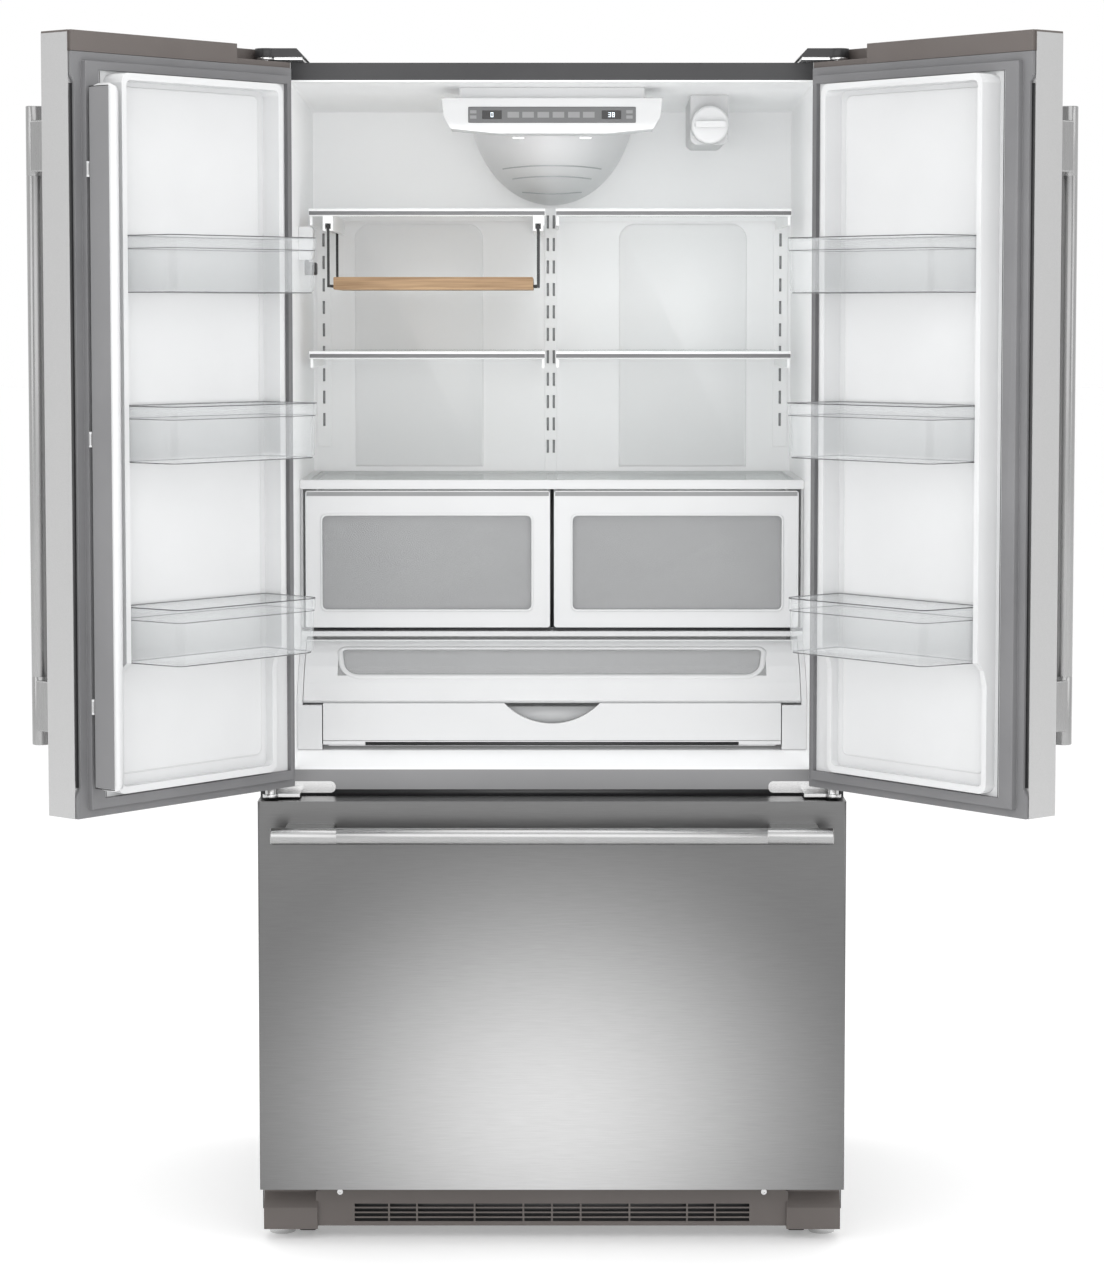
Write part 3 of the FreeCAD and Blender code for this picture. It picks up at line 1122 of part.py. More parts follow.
def make_rear_connections(machine_front, machine_top, base_top):
    """Flush appliance inlet and the threaded water inlet with its valve."""
    inlet_z = machine_top + 40
    body = box(-372, -322, BACK - 26, BACK, inlet_z, inlet_z + 34)
    mouth = box(-365, -329, BACK - 20, BACK + 1, inlet_z + 6, inlet_z + 28)
    body = body.cut(mouth)
    pins = [box(-347 + dx - 1, -347 + dx + 1, BACK - 21, BACK - 6, inlet_z + dz, inlet_z + dz + 6)
            for dx, dz in ((-11, 11), (0, 17), (11, 11))]
    for pin in pins:
        body = body.fuse(pin)
    valve_x = 380.0
    valve = rounded(box(valve_x - 22, valve_x + 22, BACK - 64, BACK - 14, 128, 168), "y", 5)
    spigot = rod(valve_x, BACK - 16, 148, 12, 34, V(0, 1, 0))
    spigot = spigot.cut(rod(valve_x, BACK - 10, 148, 7, 40, V(0, 1, 0)))
    parts["rear_connections"] = group([body, valve.fuse(spigot)])
    hole = rod(valve_x, BACK - 10, 148, 13, 20, V(0, 1, 0))
    pocket = box(-372, -322, BACK - 26, BACK + 1, inlet_z, inlet_z + 34)
    parts["rear_panels"] = parts["rear_panels"].cut(hole).cut(pocket)
    parts["cabinet_foam"] = parts["cabinet_foam"].cut(pocket)


def make_fasteners():
    """Screws of the centre hinges, the grille and the rear cover."""
    screws = []
    wing_x = PIVOT_X - 88
    head_z = (DRAWER_TOP + 3.5 + DOOR_BOTTOM - 1) / 2

    def screw(x, y, z, radius, height, direction):
        head = rod(x, y, z, radius, height, direction)
        socket = rod(x + direction.x * height * 0.5, y + direction.y * height * 0.5,
                     z + direction.z * height * 0.5, radius * 0.45, height, direction)
        return head.cut(socket)

    screws.append(screw(wing_x, FRONT - 3, head_z, 4.5, 2.0, V(0, -1, 0)))
    screws.append(screw(SCREW_X, GRILLE_Y, 76, 4.5, 2.0, V(0, -1, 0)))
    for x in (HALF - 16, 150.0):
        screws.append(screw(x, BACK, CASE_FOOT + 50, 4.0, 2.0, V(0, 1, 0)))
        screws.append(screw(x, BACK, CASE_TOP - 30, 4.0, 2.0, V(0, 1, 0)))
    parts["fasteners"] = group(screws + [mirrored(s) for s in screws])


machine_front, machine_top, base_top = make_case()
make_base(machine_front, base_top)
make_feet(base_top)
make_grille()
make_door_skin()
make_door_caps()
make_door_gasket()
make_mullion(make_door_liner())
make_bins()
make_door_handle()
make_hinges()
make_freezer_drawer()
make_ladders()
make_shelves()
make_surround()
make_crispers()
make_pantry()
make_board()
make_controls()
make_cooling(machine_front, base_top)
make_rear_connections(machine_front, machine_top, base_top)
make_fasteners()

os.makedirs("parts", exist_ok=True)
for name, shape in parts.items():
    shape.exportStep("parts/" + name + ".step")
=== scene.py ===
import math

import bmesh
import bpy
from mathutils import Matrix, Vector


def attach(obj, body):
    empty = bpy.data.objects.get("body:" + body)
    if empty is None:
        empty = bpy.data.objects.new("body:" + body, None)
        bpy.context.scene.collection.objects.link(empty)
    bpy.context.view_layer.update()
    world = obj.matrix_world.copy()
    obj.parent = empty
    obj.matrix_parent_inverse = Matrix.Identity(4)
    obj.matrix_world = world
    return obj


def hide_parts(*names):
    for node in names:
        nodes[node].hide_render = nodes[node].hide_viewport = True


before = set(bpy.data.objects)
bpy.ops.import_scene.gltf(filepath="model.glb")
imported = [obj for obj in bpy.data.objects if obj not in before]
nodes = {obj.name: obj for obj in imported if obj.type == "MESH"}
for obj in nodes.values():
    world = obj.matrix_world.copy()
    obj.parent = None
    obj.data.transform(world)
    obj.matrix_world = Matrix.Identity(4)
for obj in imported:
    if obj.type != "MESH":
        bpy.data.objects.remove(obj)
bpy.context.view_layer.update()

SIDES = (("left", -1), ("right", 1))

# Sizes in millimetres, most of them the CAD's own, that the pieces below are built on.
DOOR_OPEN = 130                 # degrees at rest
DOOR_PIVOT = (432.7, -374.6)    # hinge axis of the right door
DOOR_FREE_X = 2.0               # free edge of the closed right door
DOOR_SEAT_Y = -335.0            # seat of its gasket
BIN_RIMS = {"low": 1020.0, "middle": 1309.0, "top": 1552.0}
BIN_H = 82.0
BIN_S = (71.0, 374.0)           # along the door, from its free edge
BIN_N = (7.5, 130.5)            # behind the gasket seat
BIN_CENTRE = (222.5, 69.0)
BIN_CORNERS = (1.0, 1.0, 22.0, 12.0)
BIN_HALF = (150.0, 62.0)        # about half a bin's size, to scale its lines by
LOW_BIN_SLANT = 11.0            # how far an end of the lowest bin leans in at its front
MULLION_S = (18.0, 43.4)        # folded, measured as the bins are
MULLION_N = (11.2, 59.6)
MULLION_Z = (758.0, 1765.0)
MULLION_HINGES = (0.12, 0.5, 0.88)
PANEL_Y = -264.0                # front of the panel strip
LAMP_TOP = 1794.0               # centre height of the bowl's ellipsoid
LAMP_DROP = 173.0
LAMP_HALF_W = 138.0
LAMP_BACK = 136.5
LAMP_D = 300.0
LOUVRE_STEPS = 24
WALL_FACE = 137.0               # back wall, Y
SHELF_TOPS = {"upper": 1606.0, "lower": 1381.0}
SHELF_FRONT = -177.9            # these three fronts lie 0.1 inside the CAD's
CRISPER_FACE = -187.9
PANTRY_FACE = -267.9
LADDER_LEAD = 16.0              # top of a ladder to its first slot
LADDER_PITCH = 37.5
LADDER_SLOT_H = 21.6
PANTRY_GAP = (359.3, 360.3)     # beside the pantry drawer's front
LID_HINGE = (-172.0, 921.0)     # Y and Z
LID_RUN = (-94.0, -86.0)        # hinge to lower edge, Y and Z
LID_BOW = 9.0
LID_STEPS = 4                   # flat strips the arch is made of
WINDOW_HALF_W = 332.0
WINDOW_RUN = (25.5, 79.0)       # down the lid from its hinge line

# ---------------------------------------------------------------- camera
scene = bpy.context.scene
camera_data = bpy.data.cameras.new("camera")
camera_data.lens = 93.9
camera_data.sensor_width = 36.0
camera_data.shift_y = -0.0725
camera = bpy.data.objects.new("camera", camera_data)
camera.location = (0, -5.470, 1.440)
camera.rotation_euler = (math.radians(86.0), 0, 0)
scene.collection.objects.link(camera)
scene.camera = camera
scene.view_settings.view_transform = "Standard"
scene.view_settings.look = "None"


# ---------------------------------------------------------------- materials
class Shader:
    """A material with a small helper for its nodes."""

    def __init__(self, name, colour, rough, metal=0.0):
        self.mat = bpy.data.materials.new(name)
        self.mat.use_nodes = True
        self.tree = self.mat.node_tree
        self.bsdf = self.tree.nodes["Principled BSDF"]
        self.bsdf.inputs["Base Color"].default_value = (*colour, 1)
        self.bsdf.inputs["Roughness"].default_value = rough
        self.bsdf.inputs["Metallic"].default_value = metal
        self.coords = self.tree.nodes.new("ShaderNodeTexCoord")

    def node(self, kind, **values):
        made = self.tree.nodes.new(kind)
        for key, value in values.items():
            if key in made.inputs:
                made.inputs[key].default_value = value
            else:
                setattr(made, key, value)
        return made

    def link(self, a, b):
        self.tree.links.new(a, b)

    def noise(self, stretch, scale, detail=3.0):
        """Noise in object space, stretched along the axes."""
        mapping = self.node("ShaderNodeMapping")
        mapping.inputs["Scale"].default_value = stretch
        self.link(self.coords.outputs["Object"], mapping.inputs["Vector"])
        noise = self.node("ShaderNodeTexNoise")
        noise.inputs["Scale"].default_value = scale
        noise.inputs["Detail"].default_value = detail
        self.link(mapping.outputs["Vector"], noise.inputs["Vector"])
        return noise.outputs["Fac"]

    def ramp(self, source, low, high, start=0.3, end=0.7):
        ramp = self.node("ShaderNodeValToRGB")
        ramp.color_ramp.elements[0].position = start
        ramp.color_ramp.elements[1].position = end
        ramp.color_ramp.elements[0].color = (*low, 1)
        ramp.color_ramp.elements[1].color = (*high, 1)
        self.link(source, ramp.inputs["Fac"])
        return ramp.outputs["Color"]

    def vary_colour(self, source, low, high, start=0.3, end=0.7):
        self.link(self.ramp(source, low, high, start, end), self.bsdf.inputs["Base Color"])

    def vary_rough(self, source, low, high):
        spread = self.node("ShaderNodeMapRange")
        spread.inputs["To Min"].default_value = low
        spread.inputs["To Max"].default_value = high
        self.link(source, spread.inputs["Value"])
        self.link(spread.outputs["Result"], self.bsdf.inputs["Roughness"])

    def bump(self, source, strength, distance):
        bump = self.node("ShaderNodeBump")
        bump.inputs["Strength"].default_value = strength
        bump.inputs["Distance"].default_value = distance
        self.link(source, bump.inputs["Height"])
        self.link(bump.outputs["Normal"], self.bsdf.inputs["Normal"])


def steel(name, tone, rough, stretch, grain=0.035, bump=0.06):
    """Brushed stainless steel; the grain runs along the axis with the small stretch."""
    shader = Shader(name, (tone, tone, tone), rough, 1.0)
    grain_noise = shader.noise(stretch, 900.0, 2.0)
    shader.vary_colour(grain_noise, (tone - grain,) * 3, (tone + grain,) * 3, 0.25, 0.75)
    shader.vary_rough(shader.noise(stretch, 500.0, 2.0), rough - 0.05, rough + 0.07)
    shader.bump(grain_noise, bump, 0.0002)
    return shader.mat


def front_steel(name, dark, light, rough):
    """Brushed sheet for the wide drawer front, with a painted reflection: paler towards its lower
    middle, darker at its top and sides.
    """
    shader = Shader(name, (light,) * 3, rough, 1.0)
    grain = shader.noise((0.03, 1.0, 1.0), 900.0, 2.0)
    # painted reflection: a soft pale pool at the lower middle of the front, darkening outwards
    mapping = shader.node("ShaderNodeMapping")
    mapping.inputs["Scale"].default_value = (1.75, 0.0, 1.9)
    shader.link(shader.coords.outputs["Object"], mapping.inputs["Vector"])
    mapping.inputs["Location"].default_value = (0, 0, -0.38)
    distance = shader.node("ShaderNodeVectorMath", operation="LENGTH")
    shader.link(mapping.outputs["Vector"], distance.inputs[0])
    painted_reflection = shader.node("ShaderNodeMapRange", interpolation_type="SMOOTHSTEP")
    painted_reflection.inputs["From Min"].default_value = 0.0
    painted_reflection.inputs["From Max"].default_value = 0.95
    painted_reflection.inputs["To Min"].default_value = light
    painted_reflection.inputs["To Max"].default_value = dark
    shader.link(distance.outputs["Value"], painted_reflection.inputs["Value"])
    speckle = shader.node("ShaderNodeMapRange")
    speckle.inputs["To Min"].default_value = 0.9
    speckle.inputs["To Max"].default_value = 1.1
    shader.link(grain, speckle.inputs["Value"])
    product = shader.node("ShaderNodeMath", operation="MULTIPLY")
    shader.link(painted_reflection.outputs["Result"], product.inputs[0])
    shader.link(speckle.outputs["Result"], product.inputs[1])
    shader.link(product.outputs["Value"], shader.bsdf.inputs["Base Color"])
    shader.vary_rough(shader.noise((0.03, 1.0, 1.0), 500.0, 2.0), rough - 0.05, rough + 0.07)
    shader.bump(grain, 0.06, 0.0002)
    return shader.mat


def moulded(name, tone, rough, texture=0.05, scale=900.0, spread=0.012):
    """Moulded plastic with a fine spark-eroded texture."""
    shader = Shader(name, tone, rough)
    low = tuple(max(c - spread, 0) for c in tone)
    high = tuple(c + spread for c in tone)
    shader.vary_colour(shader.noise((1, 1, 1), 7.0), low, high)
    fine = shader.noise((1, 1, 1), scale, 2.0)
    shader.vary_rough(fine, rough - 0.04, rough + 0.06)
    shader.bump(fine, texture, 0.0003)
    return shader.mat


def clear(name, tint, alpha, rough=0.06):
    """Thin clear plastic or glass: mostly see-through, with gloss on top."""
    shader = Shader(name, tint, rough)
    shader.bsdf.inputs["Alpha"].default_value = alpha
    shader.bsdf.inputs["IOR"].default_value = 1.5
    shader.vary_rough(shader.noise((1, 1, 1), 30.0), rough, rough + 0.05)
    edge = shader.node("ShaderNodeLayerWeight", Blend=0.35)
    spread = shader.node("ShaderNodeMapRange")
    spread.inputs["To Min"].default_value = alpha
    spread.inputs["To Max"].default_value = min(alpha + 0.38, 1.0)
    shader.link(edge.outputs["Facing"], spread.inputs["Value"])
    shader.link(spread.outputs["Result"], shader.bsdf.inputs["Alpha"])
    return shader.mat


def wood(name):
    """Oiled oak with grain along X."""
    shader = Shader(name, (0.35, 0.22, 0.115), 0.45)
    rings = shader.noise((1.2, 22.0, 30.0), 6.0, 8.0)
    shader.vary_colour(rings, (0.24, 0.14, 0.066), (0.46, 0.30, 0.165), 0.35, 0.66)
    pores = shader.noise((6.0, 160.0, 160.0), 9.0, 3.0)
    shader.vary_rough(pores, 0.35, 0.6)
    shader.bump(pores, 0.25, 0.0006)
    return shader.mat


def self_lit(material, strength, colour=(1, 1, 1)):
    """Make a material give off light of its own."""
    bsdf = material.node_tree.nodes["Principled BSDF"]
    bsdf.inputs["Emission Color"].default_value = (*colour, 1)
    bsdf.inputs["Emission Strength"].default_value = strength


def glow(name, colour, strength):
    """A small lit sign or lamp."""
    shader = Shader(name, colour, 0.4)
    self_lit(shader.mat, strength, colour)
    speckle = shader.noise((1, 1, 1), 60.0)
    shader.vary_rough(speckle, 0.35, 0.5)
    return shader.mat


# The drawer front's steel carries a painted reflection, pale at its lower middle and dark at its
# top and sides.
STEEL_FRONT = front_steel("steel_front", 0.16, 0.60, 0.30)
STEEL_DOOR = steel("steel_door", 0.56, 0.34, (1.0, 1.0, 1.0))
STEEL_BAR = steel("steel_bar", 0.38, 0.27, (1.0, 1.0, 0.02), 0.02, 0.0)
STEEL_BAR_X = steel("steel_bar_x", 0.39, 0.27, (0.02, 1.0, 1.0), 0.02, 0.0)
PLATED = steel("plated", 0.62, 0.24, (1.0, 1.0, 1.0), 0.02)
GALVANISED = steel("galvanised", 0.42, 0.5, (0.1, 0.1, 0.1), 0.05)
CASE_PAINT = moulded("case_paint", (0.028, 0.028, 0.030), 0.42, 0.10, 700.0, 0.006)
WHITE = moulded("white_plastic", (0.66, 0.665, 0.67), 0.30)
WHITE_SATIN = moulded("white_satin", (0.68, 0.685, 0.69), 0.42, 0.08)
LINER = moulded("liner_white", (0.87, 0.875, 0.88), 0.38, 0.05)
self_lit(LINER, 0.07)    # painted light: the liner glows a little, standing for the lamps inside
DOOR_LINER = moulded("door_liner_white", (0.64, 0.645, 0.65), 0.40, 0.05)
CRISPER_CLEAR = clear("crisper_clear", (0.86, 0.87, 0.88), 0.12)
GREY = moulded("grey_plastic", (0.27, 0.27, 0.275), 0.36)
LID_GREY = moulded("lid_grey", (0.66, 0.665, 0.67), 0.35)
GASKET = moulded("gasket_grey", (0.17, 0.17, 0.175), 0.6, 0.12, 500.0)
TRIM = moulded("trim_brown_grey", (0.115, 0.10, 0.093), 0.5, 0.14, 700.0, 0.006)
BLACK = moulded("black_plastic", (0.02, 0.02, 0.021), 0.42, 0.1, 700.0, 0.004)
RUBBER = moulded("rubber_black", (0.03, 0.03, 0.03), 0.7, 0.2, 500.0, 0.006)
FOAM = moulded("foam", (0.7, 0.6, 0.35), 0.9, 0.6, 200.0, 0.05)
OAK = wood("oak")
CLEAR = clear("clear_plastic", (0.76, 0.78, 0.79), 0.05)
PANE = clear("shelf_glass", (0.82, 0.9, 0.88), 0.16, 0.03)
FROSTED = clear("frosted_cover", (0.88, 0.88, 0.89), 0.72, 0.35)
DISPLAY = moulded("display_black", (0.01, 0.01, 0.011), 0.16, 0.0, 500.0, 0.002)
DIGIT = glow("display_digit", (0.85, 0.93, 1.0), 1.0)
LED = glow("led_light", (1.0, 1.0, 1.0), 0.8)
BIN_LINE = moulded("bin_edge", (0.13, 0.132, 0.135), 0.2, 0.0)
MULLION_GREY = moulded("mullion_grey", (0.19, 0.19, 0.195), 0.36)
PANEL = moulded("panel_strip", (0.13, 0.132, 0.135), 0.3, 0.0)
PANEL_LINE = moulded("panel_line", (0.26, 0.262, 0.265), 0.35, 0.0)
TRIM_GREY = moulded("shelf_band", (0.15, 0.152, 0.155), 0.3, 0.0)
LOUVRE = moulded("lamp_louvre", (0.42, 0.43, 0.44), 0.3, 0.0)
SLOT_SHADE = moulded("slot_shade", (0.33, 0.335, 0.34), 0.5, 0.0)
BEAD = moulded("door_bead", (0.62, 0.625, 0.63), 0.4, 0.0)
GRIP_SHADE = moulded("grip_recess_shade", (0.42, 0.425, 0.43), 0.35, 0.0)

LOOKS = {
    "cabinet_shell": CASE_PAINT, "rear_panels": GALVANISED, "cabinet_foam": FOAM,
    "fresh_food_liner": LINER, "freezer_liner": LINER, "centre_rail": GREY,
    "base_frame": GALVANISED, "toe_grille": TRIM, "hinges": PLATED, "hinge_covers": BLACK,
    "fasteners": PLATED, "shelf_ladders": LINER, "shelf_frames": LINER, "shelf_glass": PANE,
    "drawer_surround": WHITE, "control_housing": DOOR_LINER, "light_cover": FROSTED,
    "dispenser_housing": WHITE, "drawer_slides": GALVANISED, "compressor": CASE_PAINT,
    "condenser_coil": CASE_PAINT, "evaporator_coil": GALVANISED, "fan_housings": WHITE,
    "rear_connections": BLACK, "mullion_flap": GREY, "pantry_drawer": WHITE,
    "pantry_lid": LID_GREY, "pantry_lid_window": CRISPER_CLEAR, "freezer_front_skin": STEEL_FRONT,
    "freezer_front_liner": LINER, "freezer_gasket": GASKET, "freezer_handle": STEEL_BAR_X,
    "freezer_basket": WHITE_SATIN, "freezer_top_basket": CLEAR, "wood_board": OAK,
    "tray_hangers": BLACK, "left_levelling_foot": PLATED, "right_levelling_foot": PLATED,
    "front_rollers": RUBBER, "rear_rollers": RUBBER, "evaporator_fan": BLACK,
    "condenser_fan": BLACK, "filter_cap": WHITE_SATIN, "dispenser_lever": BLACK,
}
for side in ("left", "right"):
    LOOKS[side + "_door_skin"] = STEEL_DOOR
    LOOKS[side + "_door_caps"] = TRIM
    LOOKS[side + "_door_gasket"] = GASKET
    LOOKS[side + "_door_liner"] = DOOR_LINER
    LOOKS[side + "_door_bins"] = CLEAR
    LOOKS[side + "_door_handle"] = STEEL_BAR
    LOOKS[side + "_crisper_front"] = WHITE
    LOOKS[side + "_crisper_bin"] = CRISPER_CLEAR

NO_BEVEL = {"cabinet_foam", "evaporator_coil", "condenser_coil", "light_cover", "evaporator_fan",
            "condenser_fan", "compressor", "tray_hangers", "centre_rail"}
SOFT_EDGE = {"fresh_food_liner": 0.004, "cabinet_shell": 0.0008, "left_door_liner": 0.0035,
             "right_door_liner": 0.0035, "freezer_front_liner": 0.004,
             "drawer_surround": 0.0012, "pantry_drawer": 0.0008}
for name, node in nodes.items():
    look = LOOKS[name]
    if not node.material_slots:
        node.data.materials.append(look)
    for slot in node.material_slots:
        slot.material = look
    if name in NO_BEVEL:
        continue
    weld = node.modifiers.new("weld", "WELD")
    weld.merge_threshold = 0.00001
    bevel = node.modifiers.new("soft_edges", "BEVEL")
    bevel.width = SOFT_EDGE.get(name, 0.0006)
    bevel.segments = 2
    bevel.limit_method = "ANGLE"
    bevel.angle_limit = math.radians(35)
    bevel.harden_normals = True

# ---------------------------------------------------------------- stage and light
floor_mesh = bpy.data.meshes.new("floor")
FLOOR_REACH = 60.0
corners = [(-FLOOR_REACH, -FLOOR_REACH, 0), (FLOOR_REACH, -FLOOR_REACH, 0),
           (FLOOR_REACH, FLOOR_REACH, 0), (-FLOOR_REACH, FLOOR_REACH, 0)]
floor_mesh.from_pydata(corners, [], [(0, 1, 2, 3)])
floor = bpy.data.objects.new("floor", floor_mesh)
studio_paint = moulded("studio_floor", (0.88, 0.88, 0.88), 0.7, 0.0, 40.0, 0.004)
self_lit(studio_paint, 0.26)
floor_mesh.materials.append(studio_paint)
scene.collection.objects.link(floor)

world = bpy.data.worlds.new("studio")
world.use_nodes = True
sky = world.node_tree
background = sky.nodes["Background"]
background.inputs["Strength"].default_value = 1.0
direction = sky.nodes.new("ShaderNodeTexCoord")
split = sky.nodes.new("ShaderNodeSeparateXYZ")
shade = sky.nodes.new("ShaderNodeMapRange")
shade.interpolation_type = "SMOOTHSTEP"
shade.inputs["From Min"].default_value = -0.9
shade.inputs["From Max"].default_value = 0.5
shade.inputs["To Min"].default_value = 0.50
shade.inputs["To Max"].default_value = 1.0
sky.links.new(direction.outputs["Generated"], split.inputs["Vector"])
sky.links.new(split.outputs["Y"], shade.inputs["Value"])
sky.links.new(shade.outputs["Result"], background.inputs["Color"])
scene.world = world


def softbox(name, place, aim, width, height, power):
    """A rectangular lamp, aimed at a point, that the camera doesn't see."""
    data = bpy.data.lights.new(name, "AREA")
    data.shape = "RECTANGLE"
    data.size = width
    data.size_y = height
    data.energy = power
    lamp = bpy.data.objects.new(name, data)
    lamp.location = place
    lamp.rotation_euler = (Vector(aim) - Vector(place)).to_track_quat("-Z", "Y").to_euler()
    lamp.visible_camera = False
    scene.collection.objects.link(lamp)
    return lamp


softbox("key_front", (0, -6.8, 3.0), (0, 0, 1.0), 8.0, 4.0, 110)
softbox("left_side", (-4.8, -2.8, 2.6), (0, 0, 1.0), 2.0, 3.0, 26)
softbox("right_side", (4.8, -2.8, 2.6), (0, 0, 1.0), 2.0, 3.0, 26)
softbox("top", (0, -0.6, 4.6), (0, -0.2, 0), 4.0, 3.0, 60)
softbox("inside_top", (0, -0.30, 1.70), (0, 0.1, 1.35), 0.5, 0.06, 0.15)
fill = softbox("inside_fill", (0, -1.35, 1.35), (0, 0.1, 1.30), 1.8, 1.4, 6.5)


# The fill stands for the lamps inside, so it leaves the outside of the closed doors alone.
outside = bpy.data.collections.new("outside_of_doors")
for side in ("left", "right"):
    outside.objects.link(nodes[side + "_door_skin"])
    outside.objects.link(nodes[side + "_door_handle"])
fill.light_linking.receiver_collection = outside
for entry in outside.collection_objects:
    entry.light_linking.link_state = "EXCLUDE"


# ---------------------------------------------------------------- building pieces
def finish_piece(name, mesh, material, body, bevel=0.0):
    """Put a mesh in the scene as a piece that rides on a body."""
    mesh.materials.append(material)
    for polygon in mesh.polygons:
        polygon.use_smooth = True
    piece = bpy.data.objects.new(name, mesh)
    scene.collection.objects.link(piece)
    if bevel:
        rounding = piece.modifiers.new("soft_edges", "BEVEL")
        rounding.width = bevel
        rounding.segments = 2
        rounding.limit_method = "ANGLE"
        rounding.angle_limit = math.radians(30)
        rounding.harden_normals = True
    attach(piece, body)
    return piece


def plain(x, y, z):
    """Millimetres to metres."""
    return (x / 1000, y / 1000, z / 1000)


def mesh_from(name, verts, faces, place=None):
    """A mesh from points in millimetres, placed by a function, with its faces turned outwards."""
    mesh = bpy.data.meshes.new(name)
    if place is None:
        place = plain
    mesh.from_pydata([place(*v) for v in verts], [], faces)
    tool = bmesh.new()
    tool.from_mesh(mesh)
    bmesh.ops.recalc_face_normals(tool, faces=tool.faces)
    tool.to_mesh(mesh)
    tool.free()
    return mesh


def door_place(side):
    """Places points given as s from the free edge, n behind the seat and height z."""
    turn = math.radians(DOOR_OPEN)

    def place(s, n, z):
        dx = DOOR_FREE_X + s - DOOR_PIVOT[0]
        dy = DOOR_SEAT_Y + n - DOOR_PIVOT[1]
        x = DOOR_PIVOT[0] + dx * math.cos(turn) - dy * math.sin(turn)
        y = DOOR_PIVOT[1] + dx * math.sin(turn) + dy * math.cos(turn)
        return (side * x / 1000, y / 1000, z / 1000)
    return place


def block(x0, x1, y0, y1, z0, z1):
    """Corners and faces of a box."""
    verts = [(x, y, z) for x in (x0, x1) for y in (y0, y1) for z in (z0, z1)]
    faces = [(0, 1, 3, 2), (4, 6, 7, 5), (0, 4, 5, 1), (2, 3, 7, 6), (0, 2, 6, 4), (1, 5, 7, 3)]
    return verts, faces


def blocks(name, boxes, material, body, place=None, bevel=0.0):
    """Several boxes as one piece."""
    verts, faces = [], []
    for one in boxes:
        more, quads = block(*one)
        faces += [tuple(i + len(verts) for i in quad) for quad in quads]
        verts += more
    return finish_piece(name, mesh_from(name, verts, faces, place), material, body, bevel)


def rounded_ring(x0, x1, y0, y1, radii, steps=6):
    """Plan outline with its own radius at each corner: low-low, high-low, high-high, low-high."""
    corners = [(x0, y0, 1, 1, 180), (x1, y0, -1, 1, 270), (x1, y1, -1, -1, 0), (x0, y1, 1, -1, 90)]
    ring = []
    for (cx, cy, sx, sy, start), radius in zip(corners, radii):
        for k in range(steps + 1):
            angle = math.radians(start + 90 * k / steps)
            ring.append((cx + sx * radius + radius * math.cos(angle),
                         cy + sy * radius + radius * math.sin(angle)))
    return ring


def loft(name, rings, material, body, place=None, close_low=True, close_high=True,
         bevel=0.0):
    """Skin between outlines; each ring is a list of points of the same length."""
    count = len(rings[0])
    verts = [point for ring in rings for point in ring]
    faces = []
    for r in range(len(rings) - 1):
        for k in range(count):
            n = (k + 1) % count
            faces.append((r * count + k, r * count + n, (r + 1) * count + n, (r + 1) * count + k))
    if close_low:
        faces.append(tuple(range(count))[::-1])
    if close_high:
        faces.append(tuple((len(rings) - 1) * count + k for k in range(count)))
    return finish_piece(name, mesh_from(name, verts, faces, place), material, body, bevel)


def plate(name, x0, x1, z0, z1, radii, y_front, y_back, material, body, place=None,
          edge=1.0):
    """A rounded panel facing the front, with a small bevel on its face."""
    ring = rounded_ring(x0, x1, z0, z1, radii)
    inset = rounded_ring(x0 + edge, x1 - edge, z0 + edge, z1 - edge,
                         [max(r - edge, 0.2) for r in radii])
    rings = [[(x, y_back, z) for x, z in ring], [(x, y_front + edge, z) for x, z in ring],
             [(x, y_front, z) for x, z in inset]]
    return loft(name, rings, material, body, place)


def frame_plate(name, outer, inner, radii, y_front, y_back, material, body):
    """A rounded frame: outer and inner are (x0, x1, z0, z1)."""
    a = rounded_ring(*outer, radii)
    b = rounded_ring(*inner, [max(r - 1, 0.4) for r in radii])
    rings = [[(x, y_back, z) for x, z in a], [(x, y_front, z) for x, z in a],
             [(x, y_front, z) for x, z in b], [(x, y_back, z) for x, z in b]]
    count = len(a)
    verts = [point for ring in rings for point in ring]
    faces = []
    for r in range(len(rings)):
        after = (r + 1) % len(rings)
        for k in range(count):
            n = (k + 1) % count
            faces.append((r * count + k, r * count + n, after * count + n, after * count + k))
    return finish_piece(name, mesh_from(name, verts, faces), material, body)


# ---------------------------------------------------------------- door bins
def bin_shift(level, s, n):
    """Sideways offset that gives the lowest bin its slanting ends."""
    if level != "low":
        return 0.0
    return LOW_BIN_SLANT * max(n - 60, 0) / 70 * (1 if s < 200 else -0.5)


def bin_ring(level, inset, z):
    """The bin's plan outline, drawn in at its three outer sides."""
    ring = rounded_ring(BIN_S[0] + inset, BIN_S[1] - inset, BIN_N[0], BIN_N[1] - inset,
                        BIN_CORNERS)
    return [(s + bin_shift(level, s, n), n, z) for s, n in ring]


def bin_line(level, z0, z1, grow):
    """Four outlines, and the first again, of a thin line round the bin."""
    outline = rounded_ring(*BIN_S, *BIN_N, BIN_CORNERS)
    loop = []
    for z, g in ((z0, grow), (z1, grow), (z1, grow - 1.2), (z0, grow - 1.2)):
        wide = 1 + g / BIN_HALF[0]
        deep = 1 + g / BIN_HALF[1]
        loop.append([(BIN_CENTRE[0] + (s - BIN_CENTRE[0]) * wide + bin_shift(level, s, n),
                      BIN_CENTRE[1] + (n - BIN_CENTRE[1]) * deep, z) for s, n in outline])
    return loop + loop[:1]


